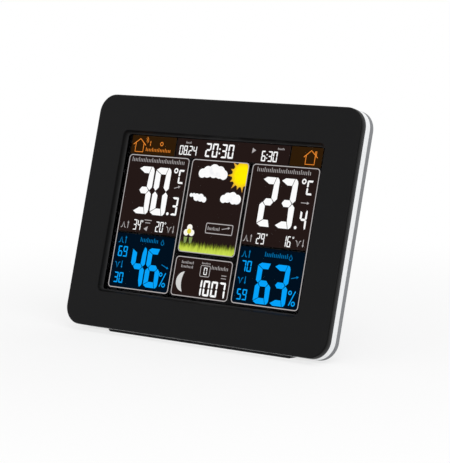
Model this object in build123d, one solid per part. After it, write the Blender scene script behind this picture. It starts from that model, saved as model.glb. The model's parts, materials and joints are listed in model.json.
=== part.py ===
from build123d import *
import math
import os

# Home weather station with a colour display.
#
# Every piece is drawn in the upright frame of the housing: X to the right as seen from the
# front, Y the depth behind the front face, Z up from the lower edge of the bezel. At the end
# the whole station leans back and is set down on the table, on its foot bar and its stand.
# All sizes are in millimetres and all angles in degrees.

# Housing outline and depths
WIDTH = 188.0
HEIGHT = 138.0
CORNER_R = 11.0
LEAN = 15.4
BEZEL_DEPTH = 4.6
RING_DEPTH = 4.3
RIM_DEPTH = 4.2
HUMP_DEPTH = 14.9
WALL = 2.2
SEAM = 0.05
EDGE_R = 1.0
RIM_EDGE_R = 1.4

# Rear hump: margins inside the outline at its root, and its draft over the whole depth
HUMP_SIDE = 14.0
HUMP_BELOW = 6.0
HUMP_ABOVE = 6.0
HUMP_DRAFT = 2.4
HUMP_R = 9.0
HUMP_EDGE_R = 2.5

# Bezel plate, lip and display opening, with the same border above and below it
PLATE_T = 2.2
LIP_T = 1.4
LIP_FIT = 0.15
LIP_REACH = 1.6
RING_T = 2.0
VIEW_W = 142.0
VIEW_BORDER = 22.55
VIEW_R = 1.8
VIEW_FLARE = 1.7
VIEW_SOFT = 0.5
RECESS_DEPTH = 3.6

# Display stack, from the window backwards
STACK_FIT = 0.1
GLASS_LAP = 2.0
WINDOW_T = 1.0
GLASS_T = 2.2
DIFFUSER_T = 0.3
GUIDE_T = 2.0
GUIDE_MARGIN = 1.0
LED_SPACE = 1.9
LED_COUNT = 7
LED_SIZE = 2.4
LED_H = 0.7
LED_BOARD_T = 0.8
CARRIER_T = 1.2
CARRIER_WALL = 1.6
CARRIER_FIT = 0.3
POST_H = 1.0
POST_R = 3.2

# Clips that hold the carrier in the bezel
CLIP_X = 36.0
CLIP_W = 8.0
CLIP_T = 1.3
CLIP_NOSE = 1.1

# Circuit board: margin to the hump's left side, and steps in from the carrier's edges
BOARD_T = 1.6
BOARD_SIDE = 8.0
BOARD_RIGHT = 28.0
BOARD_STEP_LOW = 4.3
BOARD_STEP_HIGH = 1.3
BOARD_SCREW_INSET = 6.0
SCREW_HOLE_R = 1.0
BOARD_SCREW_R = 0.85
BOARD_SCREW_BITE = 1.8
BOARD_HEAD_R = 1.9
BOARD_HEAD_H = 1.2

# Case screws: margins to the hump's faces, bosses, tubes, and the screw itself
CASE_SCREW_SIDE = 14.0
CASE_SCREW_RISE = 6.8
BOSS_R = 3.2
BOSS_END = 17.0
BOSS_HOLE_R = 1.25
BOSS_HOLE_DEPTH = 9.0
CASE_SCREW_R = 1.15
CASE_HEAD_R = 2.4
CASE_HEAD_H = 1.7
COUNTERBORE_R = 2.8
TUBE_R = 4.2
TUBE_FLOOR = 1.6
SCREW_CROSS_W = 0.6
SCREW_CROSS_L = 2.6
SCREW_CROSS_DEPTH = 0.8

# Foot bar
FOOT_HALF = 68.0
FOOT_DROP = 1.4
FOOT_SETBACK = 0.2
FOOT_LENGTH = 10.9
FOOT_END_CUT = 3.0
FOOT_GAP = 0.1
PEG_X = 50.0
PEG_R = 1.5
PEG_H = 5.0

# Stand: a ribbed leg on two stub pins, folding into a pocket of the hump
PIVOT_IN = 3.0
STAND_LENGTH = 62.3
STAND_RAKE = 12.8
STAND_TAPER = 11.0
STAND_OUT = 2.8
STAND_SKIN = 2.0
STAND_RIB = 3.0
STAND_RIB_T = 1.8
STAND_GRIP_W = 22.0
STAND_GRIP_H = 6.0
STAND_GRIP_DEPTH = 0.8
STAND_GRIP_UP = 9.0
STAND_CROSS_RIBS = (0.35, 0.68)
HEEL_UP = 4.0
HEEL_IN = 1.0
BARREL_R = 2.6
PIN_R = 1.5
PIN_FIT = 0.05
PIN_REACH = 2.4
PAD_T = 1.2
PAD_INSET = 3.0
POCKET_GAP = 0.5
POCKET_DEPTH = 6.2
POCKET_SKIN = 1.6
POCKET_HEAD = 6.0
POCKET_TO_BAY = 4.0

# Battery bay with three AAA cells standing side by side, and its pull-off door
CELL_R = 5.25
CELL_LENGTH = 44.5
CELL_NUB_R = 1.9
CELL_NUB_H = 0.9
CELL_EDGE_R = 0.6
CELL_COUNT = 3
CELL_GAP = 0.4
CELL_FIT = 0.1
BAY_SIDE = 25.0
BAY_SCREW_GAP = 0.8
BAY_WALL = 1.2
SPRING_LENGTH = 3.6
SPRING_TURNS = 3
SPRING_R = 2.9
SPRING_WIRE_R = 0.3
CONTACT_T = 0.4
CONTACT_W = 8.0
CONTACT_BUMP_R = 1.8
CONTACT_BUMP_H = 0.6
CONTACT_BUMP_TAPER = 20.0
CONTACT_FIT = 0.1
DOOR_T = 1.3
DOOR_SEAT = 0.2
DOOR_GAP = 0.3
DOOR_LEDGE = 2.6
DOOR_R = 2.5
DOOR_TAB_W = 8.0
DOOR_TAB_T = 1.2
DOOR_TAB_H = 2.4
DOOR_TAB_X = 9.0
LATCH_W = 12.0
LATCH_L = 9.0
LATCH_SLIT = 0.8
NAIL_NOTCH_R = 6.0
GRIP_COUNT = 4
GRIP_PITCH = 2.6
GRIP_W = 16.0
GRIP_DEPTH = 0.5
GRIP_GROOVE = 1.0

# Rear keys and the light bar
KEY_NAMES = ("mode", "alarm", "up", "down", "memory", "channel")
KEY_SIDE = 18.0
KEY_PITCH_X = 22.0
KEY_PITCH_Z = 14.0
KEY_R = 4.3
KEY_GAP = 0.3
KEY_FLANGE = 1.3
KEY_FLANGE_T = 1.3
KEY_TRAVEL = 0.6
KEY_DISH = 0.35
KEY_DISH_R = 3.0
PLUNGER_R = 1.7
LIGHT_BAR_DOWN = 20.0
LIGHT_BAR_W = 44.0
LIGHT_BAR_H = 9.0
KEY_WELL = 0.8
KEY_WELL_MARGIN = 2.2
SWITCH_W = 6.0
SWITCH_H = 3.5
SWITCH_WELL_SPARE = 0.2
STEM_R = 1.6
STEM_FIT = 0.08
STEM_SPARE = 0.1
STEM_IN = 1.6

# DC inlet in the side of the hump
INLET_UP = 36.0
INLET_BODY = 10.0
INLET_LENGTH = 14.0
INLET_BORE_R = 3.2
INLET_BORE_DEPTH = 10.0
INLET_PIN_R = 1.0
INLET_PIN_BACK = 2.0
INLET_HOLE_R = 4.5
INLET_FIT = 0.2

# Room sensor behind its vents
SENSOR_SIDE = 32.0
SENSOR_UP = 19.5
SENSOR_BOARD_W = 18.0
SENSOR_BOARD_H = 9.0
SENSOR_BOARD_T = 1.0
SENSOR_STANDOFF = 4.0
SENSOR_CHIP_W = 4.0
SENSOR_CHIP_H = 4.0
SENSOR_CHIP_T = 1.3
SENSOR_PORT_R = 1.0
SENSOR_PORT_DEPTH = 0.6
RIB_T = 1.4
VENT_COUNT = 5
VENT_PITCH = 4.4
VENT_W = 1.8
VENT_H = 9.0

# Sounder and its holes
BUZZER_SIDE = 35.0
BUZZER_UP = 38.0
BUZZER_R = 10.0
BUZZER_T = 0.8
BUZZER_RING_T = 1.2
BUZZER_RING_H = 2.0
BUZZER_FIT = 0.15
SOUND_HOLE_R = 0.9
SOUND_RING_R = 4.5
SOUND_COUNT = 6

# Time-signal antenna
ANTENNA_SIDE = 27.0
ANTENNA_DOWN = 27.0
ANTENNA_L = 38.0
ANTENNA_R = 3.5
ANTENNA_DEPTH = 19.0
COIL_L = 16.0
COIL_T = 0.9
COIL_FIT = 0.05
SADDLE_W = 3.0
SADDLE_T = 1.5
SADDLE_OPEN = 0.6

# Parts on the board
CHIP_X = -16.0
CHIP_DOWN = 24.0
CHIP_W = 14.0
CHIP_T = 1.6
RADIO_X = 8.0
RADIO_DOWN = 16.0
RADIO_W = 20.0
RADIO_H = 14.0
RADIO_T = 0.8
RADIO_CAN_W = 12.0
RADIO_CAN_H = 9.0
RADIO_CAN_T = 2.2
RIBBON_W = 40.0
RIBBON_T = 0.3
RIBBON_DROP = 2.6
RIBBON_UP = 5.0
RIBBON_BEND = 1.2
RIBBON_GAP = 0.1
RIBBON_SLOT = 0.6

# Wall keyholes
KEYHOLE_X = 44.0
KEYHOLE_DOWN = 10.5
KEYHOLE_HEAD_R = 4.4
KEYHOLE_NECK_W = 4.2
KEYHOLE_RISE = 6.5

# Depths that follow from the sizes above
RING_FRONT = BEZEL_DEPTH
RIM_FRONT = RING_FRONT + RING_DEPTH
SHOULDER = RIM_FRONT + RIM_DEPTH
BACK = SHOULDER + HUMP_DEPTH
BACK_IN = BACK - WALL
MIDDLE = HEIGHT / 2
HUMP_HALF = WIDTH / 2 - HUMP_SIDE
HUMP_LOW = HUMP_BELOW
HUMP_HIGH = HEIGHT - HUMP_ABOVE

WINDOW_FRONT = RECESS_DEPTH
GLASS_FRONT = WINDOW_FRONT + WINDOW_T + STACK_FIT
DIFFUSER_FRONT = GLASS_FRONT + GLASS_T + STACK_FIT
GUIDE_FRONT = DIFFUSER_FRONT + DIFFUSER_T + STACK_FIT
CARRIER_PLATE = GUIDE_FRONT + GUIDE_T + STACK_FIT
CARRIER_BACK = CARRIER_PLATE + CARRIER_T
BOARD_FRONT = CARRIER_BACK + POST_H
BOARD_BACK = BOARD_FRONT + BOARD_T

GLASS_W = VIEW_W + 2 * GLASS_LAP
VIEW_H = HEIGHT - 2 * VIEW_BORDER
GLASS_H = VIEW_H + 2 * GLASS_LAP
CARRIER_W = GLASS_W + 2 * (CARRIER_FIT + CARRIER_WALL)
CARRIER_H = GLASS_H + 2 * (CARRIER_FIT + CARRIER_WALL)
CARRIER_LOW = MIDDLE - CARRIER_H / 2
CARRIER_HIGH = MIDDLE + CARRIER_H / 2

BOARD_LEFT = -(HUMP_HALF - BOARD_SIDE)
BOARD_LOW = CARRIER_LOW + BOARD_STEP_LOW
BOARD_HIGH = CARRIER_HIGH - BOARD_STEP_HIGH

CASE_SCREW_X = HUMP_HALF - CASE_SCREW_SIDE
CASE_SCREW_LOW = HUMP_LOW + CASE_SCREW_RISE
CASE_SCREW_HIGH = HUMP_HIGH - CASE_SCREW_RISE
TUBE_FRONT = BOSS_END + SEAM
SCREW_SEAT = TUBE_FRONT + TUBE_FLOOR

CELL_PITCH = 2 * CELL_R + CELL_GAP
BAY_CENTRE_X = HUMP_HALF - BAY_SIDE
BAY_W = CELL_COUNT * CELL_PITCH + CELL_GAP
BAY_H = CELL_LENGTH + SPRING_LENGTH + CONTACT_BUMP_H + 2 * CONTACT_T + 4 * CONTACT_FIT
BAY_LOW = CASE_SCREW_LOW + COUNTERBORE_R + BAY_SCREW_GAP + DOOR_LEDGE
BAY_MIDDLE = BAY_LOW + BAY_H / 2
BAY_FLOOR = BACK - DOOR_T - DOOR_SEAT - 2 * CELL_FIT - 2 * CELL_R
CELL_DEPTH = BAY_FLOOR + CELL_FIT + CELL_R
CELL_LOW = BAY_LOW + 2 * CONTACT_FIT + CONTACT_T + SPRING_LENGTH
DOOR_W = BAY_W + 2 * DOOR_LEDGE
DOOR_H = BAY_H + 2 * DOOR_LEDGE
LEDGE_W = DOOR_W + 2 * BAY_WALL
LEDGE_H = DOOR_H + 2 * BAY_WALL

POCKET_FLOOR = BACK - POCKET_DEPTH
POCKET_HALF = BAY_CENTRE_X - LEDGE_W / 2 - POCKET_TO_BAY - POCKET_SKIN
STAND_TOP_W = 2 * (POCKET_HALF - POCKET_GAP)
STAND_FOOT_W = STAND_TOP_W - STAND_TAPER

LIGHT_BAR_Z = HUMP_HIGH - LIGHT_BAR_DOWN
KEY_LEFT_X = -(HUMP_HALF - KEY_SIDE)
KEY_TOP_Z = LIGHT_BAR_Z - KEY_PITCH_Z
CHIP_UP = LIGHT_BAR_Z - CHIP_DOWN
RADIO_UP = LIGHT_BAR_Z - RADIO_DOWN
KEYHOLE_UP = HUMP_HIGH - KEYHOLE_DOWN
ANTENNA_X = HUMP_HALF - ANTENNA_SIDE
ANTENNA_UP = HUMP_HIGH - ANTENNA_DOWN
BUZZER_X = -(HUMP_HALF - BUZZER_SIDE)
SENSOR_X = -(HUMP_HALF - SENSOR_SIDE)

STEM_UP = KEY_TRAVEL + STEM_SPARE
SWITCH_WELL = STEM_IN + KEY_TRAVEL + SWITCH_WELL_SPARE

INLET_DEPTH = BOARD_BACK + STACK_FIT + INLET_BODY / 2
FOOT_FRONT = RIM_FRONT + FOOT_SETBACK
FOOT_BACK = FOOT_FRONT + FOOT_LENGTH


def table_height(depth, up):
    """Height of a point of the leaning housing, before it is set down on the table."""
    lean = math.radians(LEAN)
    return up * math.cos(lean) - depth * math.sin(lean)


def height_at(depth, above_table):
    """Height in the upright frame of a point that is so far above the table."""
    lean = math.radians(LEAN)
    return (above_table + TABLE + depth * math.sin(lean)) / math.cos(lean)


TABLE = table_height(FOOT_FRONT, -FOOT_DROP)
PIVOT_DEPTH = BACK - PIVOT_IN
PIVOT_UP = height_at(PIVOT_DEPTH, STAND_LENGTH * math.cos(math.radians(STAND_RAKE)))
STAND_ANGLE = STAND_RAKE + LEAN


def face_plane(depth):
    """Plane parallel to the face, with x to the right and y up as seen from the front."""
    return Plane(origin=(0, depth, 0), x_dir=(1, 0, 0), z_dir=(0, -1, 0))


def slab(sketch, front, back):
    """Solid that a sketch seen from the front sweeps between two depths."""
    return extrude(face_plane(front) * sketch, amount=back - front, dir=(0, 1, 0))


def rounded(width, height, radius, x=0.0, up=MIDDLE):
    """Rounded rectangle about a point of the face."""
    return Pos(x, up) * RectangleRounded(width, height, radius)


def block(width, height, x, up, front, back):
    """Plain block about a point of the face, between two depths."""
    return slab(Pos(x, up) * Rectangle(width, height), front, back)


def rod(x, up, radius, front, back):
    """Round bar along the depth."""
    return slab(Pos(x, up) * Circle(radius), front, back)


def side_sweep(sketch, left, right):
    """Solid that a sketch of depth and height sweeps across the housing."""
    return extrude(Plane.YZ.offset(left) * sketch, amount=right - left, dir=(1, 0, 0))


def cross_rod(depth, up, radius, left, right):
    """Round bar across the housing."""
    return side_sweep(Pos(depth, up) * Circle(radius), left, right)


def side_profile(points, left, right):
    """Solid with a side profile of depth and height points, from left to right."""
    return side_sweep(Polygon(*points, align=None), left, right)


def outline(inset):
    """Outline of the housing, set in from its outer edge."""
    return rounded(WIDTH - 2 * inset, HEIGHT - 2 * inset, CORNER_R - inset)


def case_screw_places():
    """Places of the case screws on the face."""
    rows = (CASE_SCREW_LOW, CASE_SCREW_HIGH)
    corners = [(x, up) for x in (-CASE_SCREW_X, CASE_SCREW_X) for up in rows]
    return corners + [(0.0, CASE_SCREW_HIGH)]


def board_screw_places():
    """Places of the board screws on the face."""
    columns = (BOARD_LEFT + BOARD_SCREW_INSET, BOARD_RIGHT - BOARD_SCREW_INSET)
    rows = (BOARD_LOW + BOARD_SCREW_INSET, BOARD_HIGH - BOARD_SCREW_INSET)
    return [(x, up) for x in columns for up in rows]


def key_places():
    """Places of the six round keys, in two columns on the back."""
    places = []
    for index in range(len(KEY_NAMES)):
        column = index % 2
        row = index // 2
        places.append((KEY_LEFT_X + column * KEY_PITCH_X, KEY_TOP_Z - row * KEY_PITCH_Z))
    return places


def cell_places():
    """Middle of each battery cell across the bay."""
    first = BAY_CENTRE_X - (CELL_COUNT - 1) / 2 * CELL_PITCH
    return [first + index * CELL_PITCH for index in range(CELL_COUNT)]


def make_bezel():
    """Front bezel: flat face, flared display opening, collar, lip, screw bosses and clips."""
    body = slab(outline(0), 0, BEZEL_DEPTH)
    front_edges = body.faces().sort_by(Axis.Y)[0].edges()
    body = fillet(front_edges, EDGE_R)
    body -= slab(outline(WALL), PLATE_T, BEZEL_DEPTH)
    lip_in = RING_T + LIP_FIT
    body += slab(outline(lip_in) - outline(lip_in + LIP_T), PLATE_T, RIM_FRONT + LIP_REACH)
    body += slab(rounded(CARRIER_W, CARRIER_H, VIEW_R), PLATE_T, RECESS_DEPTH)
    mouth = rounded(VIEW_W + 2 * VIEW_FLARE, VIEW_H + 2 * VIEW_FLARE, VIEW_R + VIEW_FLARE)
    throat = rounded(VIEW_W, VIEW_H, VIEW_R)
    body -= loft([face_plane(0) * mouth, face_plane(RECESS_DEPTH) * throat])
    mouth_edges = body.faces().sort_by(Axis.Y)[0].inner_wires()[0].edges()
    body = fillet(mouth_edges, VIEW_SOFT)
    for x, up in case_screw_places():
        body += rod(x, up, BOSS_R, PLATE_T, BOSS_END)
        body -= rod(x, up, BOSS_HOLE_R, BOSS_END - BOSS_HOLE_DEPTH, BOSS_END)
    reach = CARRIER_BACK + STACK_FIT
    for side in (-1, 1):
        inner = MIDDLE + side * (CARRIER_H / 2 + STACK_FIT)
        outer = inner + side * CLIP_T
        nose = inner - side * CLIP_NOSE
        tip = reach + CLIP_NOSE
        hook = [(PLATE_T, inner), (PLATE_T, outer), (tip, outer), (tip, inner)]
        hook += [(reach, nose), (reach, inner)]
        for x in (-CLIP_X, CLIP_X):
            body += side_profile(hook, x - CLIP_W / 2, x + CLIP_W / 2)
    return body


def make_trim_ring():
    """Bright ring between the bezel and the rear cover, slipped over the bezel's lip."""
    return slab(outline(0) - outline(RING_T), RING_FRONT + SEAM, RIM_FRONT - SEAM)


def make_window():
    """Clear window behind the display opening."""
    return slab(rounded(GLASS_W, GLASS_H, VIEW_R), WINDOW_FRONT + SEAM, WINDOW_FRONT + WINDOW_T)


def make_glass():
    """Display glass: two bonded sheets, the rear one standing proud below for its contacts."""
    joint = GLASS_FRONT + GLASS_T / 2
    front = block(GLASS_W, GLASS_H - LED_SPACE, 0, MIDDLE + LED_SPACE / 2, GLASS_FRONT, joint)
    rear = block(GLASS_W, GLASS_H, 0, MIDDLE, joint, GLASS_FRONT + GLASS_T)
    return front + rear


def guide_sketch():
    """Outline shared by the light guide and the diffuser, leaving room for the lamps below."""
    width = GLASS_W - 2 * GUIDE_MARGIN
    height = GLASS_H - GUIDE_MARGIN - LED_SPACE
    return Pos(0, MIDDLE + (LED_SPACE - GUIDE_MARGIN) / 2) * Rectangle(width, height)


def make_carrier():
    """White tray that holds the glass and its light, with posts for the board."""
    plate = block(CARRIER_W, CARRIER_H, 0, MIDDLE, CARRIER_PLATE, CARRIER_BACK)
    inner_w = CARRIER_W - 2 * CARRIER_WALL
    inner_h = CARRIER_H - 2 * CARRIER_WALL
    frame = Pos(0, MIDDLE) * (Rectangle(CARRIER_W, CARRIER_H) - Rectangle(inner_w, inner_h))
    body = plate + slab(frame, RECESS_DEPTH + SEAM, CARRIER_PLATE)
    slot_w = RIBBON_W + 2 * RIBBON_SLOT
    slot_front = GLASS_FRONT - RIBBON_SLOT
    body -= block(slot_w, 2 * CARRIER_WALL, 0, CARRIER_LOW, slot_front, GLASS_FRONT + GLASS_T)
    for x, up in board_screw_places():
        body += rod(x, up, POST_R, CARRIER_BACK, BOARD_FRONT - SEAM)
        body -= rod(x, up, SCREW_HOLE_R, CARRIER_PLATE, BOARD_FRONT)
    return body


def make_led_strip():
    """Narrow lamp board under the light guide, with its row of lamps."""
    depth_room = GUIDE_T + DIFFUSER_T
    front = CARRIER_PLATE - STACK_FIT - depth_room
    low = MIDDLE - GLASS_H / 2
    width = GLASS_W - 2 * LED_SPACE
    strip = block(width, LED_BOARD_T, 0, low + LED_BOARD_T / 2, front, CARRIER_PLATE - STACK_FIT)
    pitch = width / LED_COUNT
    for index in range(LED_COUNT):
        x = -width / 2 + (index + 0.5) * pitch
        up = low + LED_BOARD_T + LED_H / 2
        strip += block(LED_SIZE, LED_H, x, up, GUIDE_FRONT, GUIDE_FRONT + GUIDE_T - STACK_FIT)
    return strip


def make_ribbon():
    """Flat ribbon from the lower edge of the glass, round the board's edge, to the board's back."""
    glass_low = MIDDLE - GLASS_H / 2
    start = (GLASS_FRONT + GLASS_T / 2 + RIBBON_T, glass_low - RIBBON_GAP)
    turn_low = glass_low - CARRIER_WALL - RIBBON_DROP
    end_depth = BOARD_BACK + RIBBON_GAP + RIBBON_T / 2
    points = [start, (start[0], turn_low), (end_depth, turn_low), (end_depth, BOARD_LOW + RIBBON_UP)]
    middle = FilletPolyline(*points, radius=RIBBON_BEND)
    band = trace(middle, line_width=RIBBON_T)
    return side_sweep(band, -RIBBON_W / 2, RIBBON_W / 2)


def hump_rectangle(depth, inset):
    """Section of the hump at a depth, set in from its outer faces."""
    share = (depth - SHOULDER) / HUMP_DEPTH
    draft = HUMP_DRAFT * share
    width = 2 * (HUMP_HALF - draft - inset)
    height = HUMP_HIGH - HUMP_LOW - 2 * (draft + inset)
    middle = (HUMP_HIGH + HUMP_LOW) / 2
    return rounded(width, height, HUMP_R - inset, 0, middle)


def hump_underside(depth):
    """Height of the hump's lower face at a depth."""
    return HUMP_LOW + HUMP_DRAFT * (depth - SHOULDER) / HUMP_DEPTH


def hump_side(depth):
    """Half width of the hump at a depth."""
    return HUMP_HALF - HUMP_DRAFT * (depth - SHOULDER) / HUMP_DEPTH


def hump_solid(front, back, inset):
    """Drafted hump between two depths."""
    sections = [face_plane(depth) * hump_rectangle(depth, inset) for depth in (front, back)]
    return loft(sections)


def pocket_outline(grow):
    """Opening of the stand's pocket, running out at the lower end."""
    top = PIVOT_UP + POCKET_HEAD + grow
    low = -CORNER_R
    return Pos(0, (top + low) / 2) * Rectangle(2 * (POCKET_HALF + grow), top - low)


def keyhole(x):
    """Keyhole that lets a wall screw's head in below and holds its neck above."""
    head = Pos(x, KEYHOLE_UP - KEYHOLE_RISE) * Circle(KEYHOLE_HEAD_R)
    neck = Pos(x, KEYHOLE_UP - KEYHOLE_RISE / 2) * Rectangle(KEYHOLE_NECK_W, KEYHOLE_RISE)
    return head + neck + Pos(x, KEYHOLE_UP) * Circle(KEYHOLE_NECK_W / 2)


def light_bar_outline(grow):
    """Outline of the light bar, grown all round."""
    return Pos(0, LIGHT_BAR_Z) * SlotOverall(LIGHT_BAR_W + 2 * grow, LIGHT_BAR_H + 2 * grow)


def make_cover_shell():
    """Outer shell of the rear cover: side band, shoulder and drafted hump."""
    rim = slab(outline(0), RIM_FRONT + SEAM, SHOULDER)
    rim = fillet(rim.faces().sort_by(Axis.Y)[-1].edges(), RIM_EDGE_R)
    hump = hump_solid(SHOULDER - WALL, BACK, 0)
    hump = fillet(hump.faces().sort_by(Axis.Y)[-1].edges(), HUMP_EDGE_R)
    shell = rim + hump
    shell -= slab(outline(RING_T), RIM_FRONT, SHOULDER - WALL)
    shell -= hump_solid(SHOULDER - WALL, BACK_IN, WALL)
    return shell, rim + hump


def make_rear_cover():
    """Rear cover with its battery bay, stand pocket, screw tubes, vents and openings."""
    cover, envelope = make_cover_shell()
    cover += slab(pocket_outline(POCKET_SKIN), POCKET_FLOOR - POCKET_SKIN, BACK) & envelope
    cover -= slab(pocket_outline(0), POCKET_FLOOR, BACK + WALL)
    pin_hole = PIN_R + PIN_FIT
    hole_end = STAND_TOP_W / 2 + PIN_REACH + POCKET_GAP
    cover -= cross_rod(PIVOT_DEPTH, PIVOT_UP, pin_hole, -hole_end, hole_end)
    outer_w = BAY_W + 2 * BAY_WALL
    outer_h = BAY_H + 2 * BAY_WALL
    bay_outer = block(outer_w, outer_h, BAY_CENTRE_X, BAY_MIDDLE, BAY_FLOOR - BAY_WALL, BACK_IN)
    ledge = block(LEDGE_W, LEDGE_H, BAY_CENTRE_X, BAY_MIDDLE, BACK_IN - DOOR_TAB_H, BACK_IN)
    cover += (bay_outer + ledge) & envelope
    cover -= block(BAY_W, BAY_H, BAY_CENTRE_X, BAY_MIDDLE, BAY_FLOOR, BACK)
    cover -= slab(rounded(DOOR_W, DOOR_H, DOOR_R, BAY_CENTRE_X, BAY_MIDDLE), BACK - DOOR_T - DOOR_SEAT, BACK)
    door_low = BAY_MIDDLE - DOOR_H / 2
    nail = Pos(BAY_CENTRE_X, door_low) * Circle(NAIL_NOTCH_R)
    below = Pos(BAY_CENTRE_X, door_low - NAIL_NOTCH_R) * Rectangle(4 * NAIL_NOTCH_R, 2 * NAIL_NOTCH_R)
    cover -= slab(nail & below, BACK - DOOR_T, BACK)
    for x in (-DOOR_TAB_X, DOOR_TAB_X):
        cover -= slab(door_tab(x, DOOR_GAP), BACK_IN - 2 * DOOR_TAB_H, BACK)
    for x, up in case_screw_places():
        cover += rod(x, up, TUBE_R, TUBE_FRONT, BACK_IN) & envelope
        cover -= rod(x, up, COUNTERBORE_R, SCREW_SEAT, BACK)
        cover -= rod(x, up, BOSS_HOLE_R + SEAM, BOSS_END, BACK)
    for x, up in key_places():
        cover -= rod(x, up, KEY_R + KEY_WELL_MARGIN, BACK - KEY_WELL, BACK)
        cover -= rod(x, up, KEY_R + KEY_GAP, BACK_IN, BACK)
    cover -= slab(light_bar_outline(KEY_WELL_MARGIN), BACK - KEY_WELL, BACK)
    cover -= slab(light_bar_outline(KEY_GAP), BACK_IN, BACK)
    inlet_hole_end = -hump_side(BACK) + WALL + INLET_HOLE_R
    cover -= cross_rod(INLET_DEPTH, INLET_UP, INLET_HOLE_R, -HUMP_HALF, inlet_hole_end)
    for x in (-PEG_X, PEG_X):
        peg_hole = Plane((x, peg_depth(), 0)) * Circle(PEG_R + FOOT_GAP)
        cover -= extrude(peg_hole, amount=HUMP_LOW + HUMP_DRAFT + WALL + FOOT_GAP)
    cover -= slab(keyhole(-KEYHOLE_X) + keyhole(KEYHOLE_X), BACK_IN, BACK)
    cover += add_sensor_ribs()
    for index in range(VENT_COUNT):
        x = SENSOR_X + (index - (VENT_COUNT - 1) / 2) * VENT_PITCH
        cover -= slab(Pos(x, SENSOR_UP) * Rot(0, 0, 90) * SlotOverall(VENT_H, VENT_W), BACK_IN, BACK)
    cover += add_buzzer_ring()
    for place in PolarLocations(SOUND_RING_R, SOUND_COUNT):
        cover -= slab(Pos(BUZZER_X, BUZZER_UP) * place * Circle(SOUND_HOLE_R), BACK_IN, BACK)
    cover -= rod(BUZZER_X, BUZZER_UP, SOUND_HOLE_R, BACK_IN, BACK)
    cover += add_antenna_saddles()
    return cover


def add_sensor_ribs():
    """Two ribs that carry the sensor board off the rear wall."""
    front = BACK_IN - SENSOR_STANDOFF
    offset = SENSOR_BOARD_W / 2 - RIB_T
    left = block(RIB_T, SENSOR_BOARD_H, SENSOR_X - offset, SENSOR_UP, front, BACK_IN)
    right = block(RIB_T, SENSOR_BOARD_H, SENSOR_X + offset, SENSOR_UP, front, BACK_IN)
    return left + right


def add_buzzer_ring():
    """Shallow ring round the sounder disc."""
    inner = BUZZER_R + BUZZER_FIT
    ring = Pos(BUZZER_X, BUZZER_UP) * (Circle(inner + BUZZER_RING_T) - Circle(inner))
    return slab(ring, BACK_IN - BUZZER_RING_H, BACK_IN)


def add_antenna_saddles():
    """Two saddles that grip the antenna rod from behind."""
    grip = ANTENNA_R + COIL_FIT
    outer = grip + SADDLE_T
    saddles = []
    for side in (-1, 1):
        x = ANTENNA_X + side * (ANTENNA_L / 2 - SADDLE_W)
        left = x - SADDLE_W / 2
        height = 2 * outer
        root = block(SADDLE_W, height, x, ANTENNA_UP, ANTENNA_DEPTH, BACK_IN)
        ring = cross_rod(ANTENNA_DEPTH, ANTENNA_UP, outer, left, left + SADDLE_W)
        gap = block(SADDLE_W, height, x, ANTENNA_UP, ANTENNA_DEPTH - 2 * outer, ANTENNA_DEPTH - SADDLE_OPEN)
        saddles.append(root + ring - gap - cross_rod(ANTENNA_DEPTH, ANTENNA_UP, grip, left, left + SADDLE_W))
    return saddles[0] + saddles[1]


def peg_depth():
    """Depth of the foot bar's pegs, under the hump."""
    return (SHOULDER + FOOT_BACK) / 2


def foot_line(depth):
    """Height of the table under the leaning housing at a depth."""
    return height_at(depth, 0)


def make_foot_bar():
    """Black foot bar under the rear cover, flat on the table, with two pegs."""
    step = SHOULDER + FOOT_GAP
    profile = [
        (FOOT_FRONT, foot_line(FOOT_FRONT)),
        (FOOT_FRONT, -FOOT_GAP),
        (step, -FOOT_GAP),
        (step, hump_underside(step) - FOOT_GAP),
        (FOOT_BACK, hump_underside(FOOT_BACK) - FOOT_GAP),
        (FOOT_BACK, foot_line(FOOT_BACK)),
    ]
    bar = side_profile(profile, -FOOT_HALF, FOOT_HALF)
    low = foot_line(FOOT_FRONT)
    cut = low + FOOT_END_CUT
    high = HUMP_LOW + HUMP_DRAFT
    sole = FOOT_HALF - FOOT_END_CUT
    right = [(sole, low), (FOOT_HALF, cut), (FOOT_HALF, high)]
    left = [(-x, up) for x, up in reversed(right)]
    bar &= slab(Polygon(*right, *left, align=None), FOOT_FRONT, FOOT_BACK)
    for x in (-PEG_X, PEG_X):
        base = Plane((x, peg_depth(), hump_underside(peg_depth()) - PEG_R))
        bar += extrude(base * Circle(PEG_R), amount=PEG_R + PEG_H)
    return bar


def leg_outline(inset):
    """Tapered outline of the stand in its own frame, from the pivot down."""
    top = STAND_TOP_W / 2 - inset
    foot = STAND_FOOT_W / 2 - inset
    low = -(STAND_LENGTH + STAND_OUT) + inset
    return Polygon((-top, HEEL_UP - inset), (top, HEEL_UP - inset), (foot, low), (-foot, low), align=None)


def sole_cut(lift):
    """Everything under the stand's sole, in the stand's own frame."""
    slope = math.tan(math.radians(STAND_RAKE))
    reach = 4 * STAND_OUT
    level = -STAND_LENGTH + lift / math.cos(math.radians(STAND_RAKE))
    points = [(-reach, level + reach * slope), (reach, level - reach * slope),
              (reach, level - 4 * reach), (-reach, level - 4 * reach)]
    return side_profile(points, -STAND_TOP_W, STAND_TOP_W)


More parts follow.
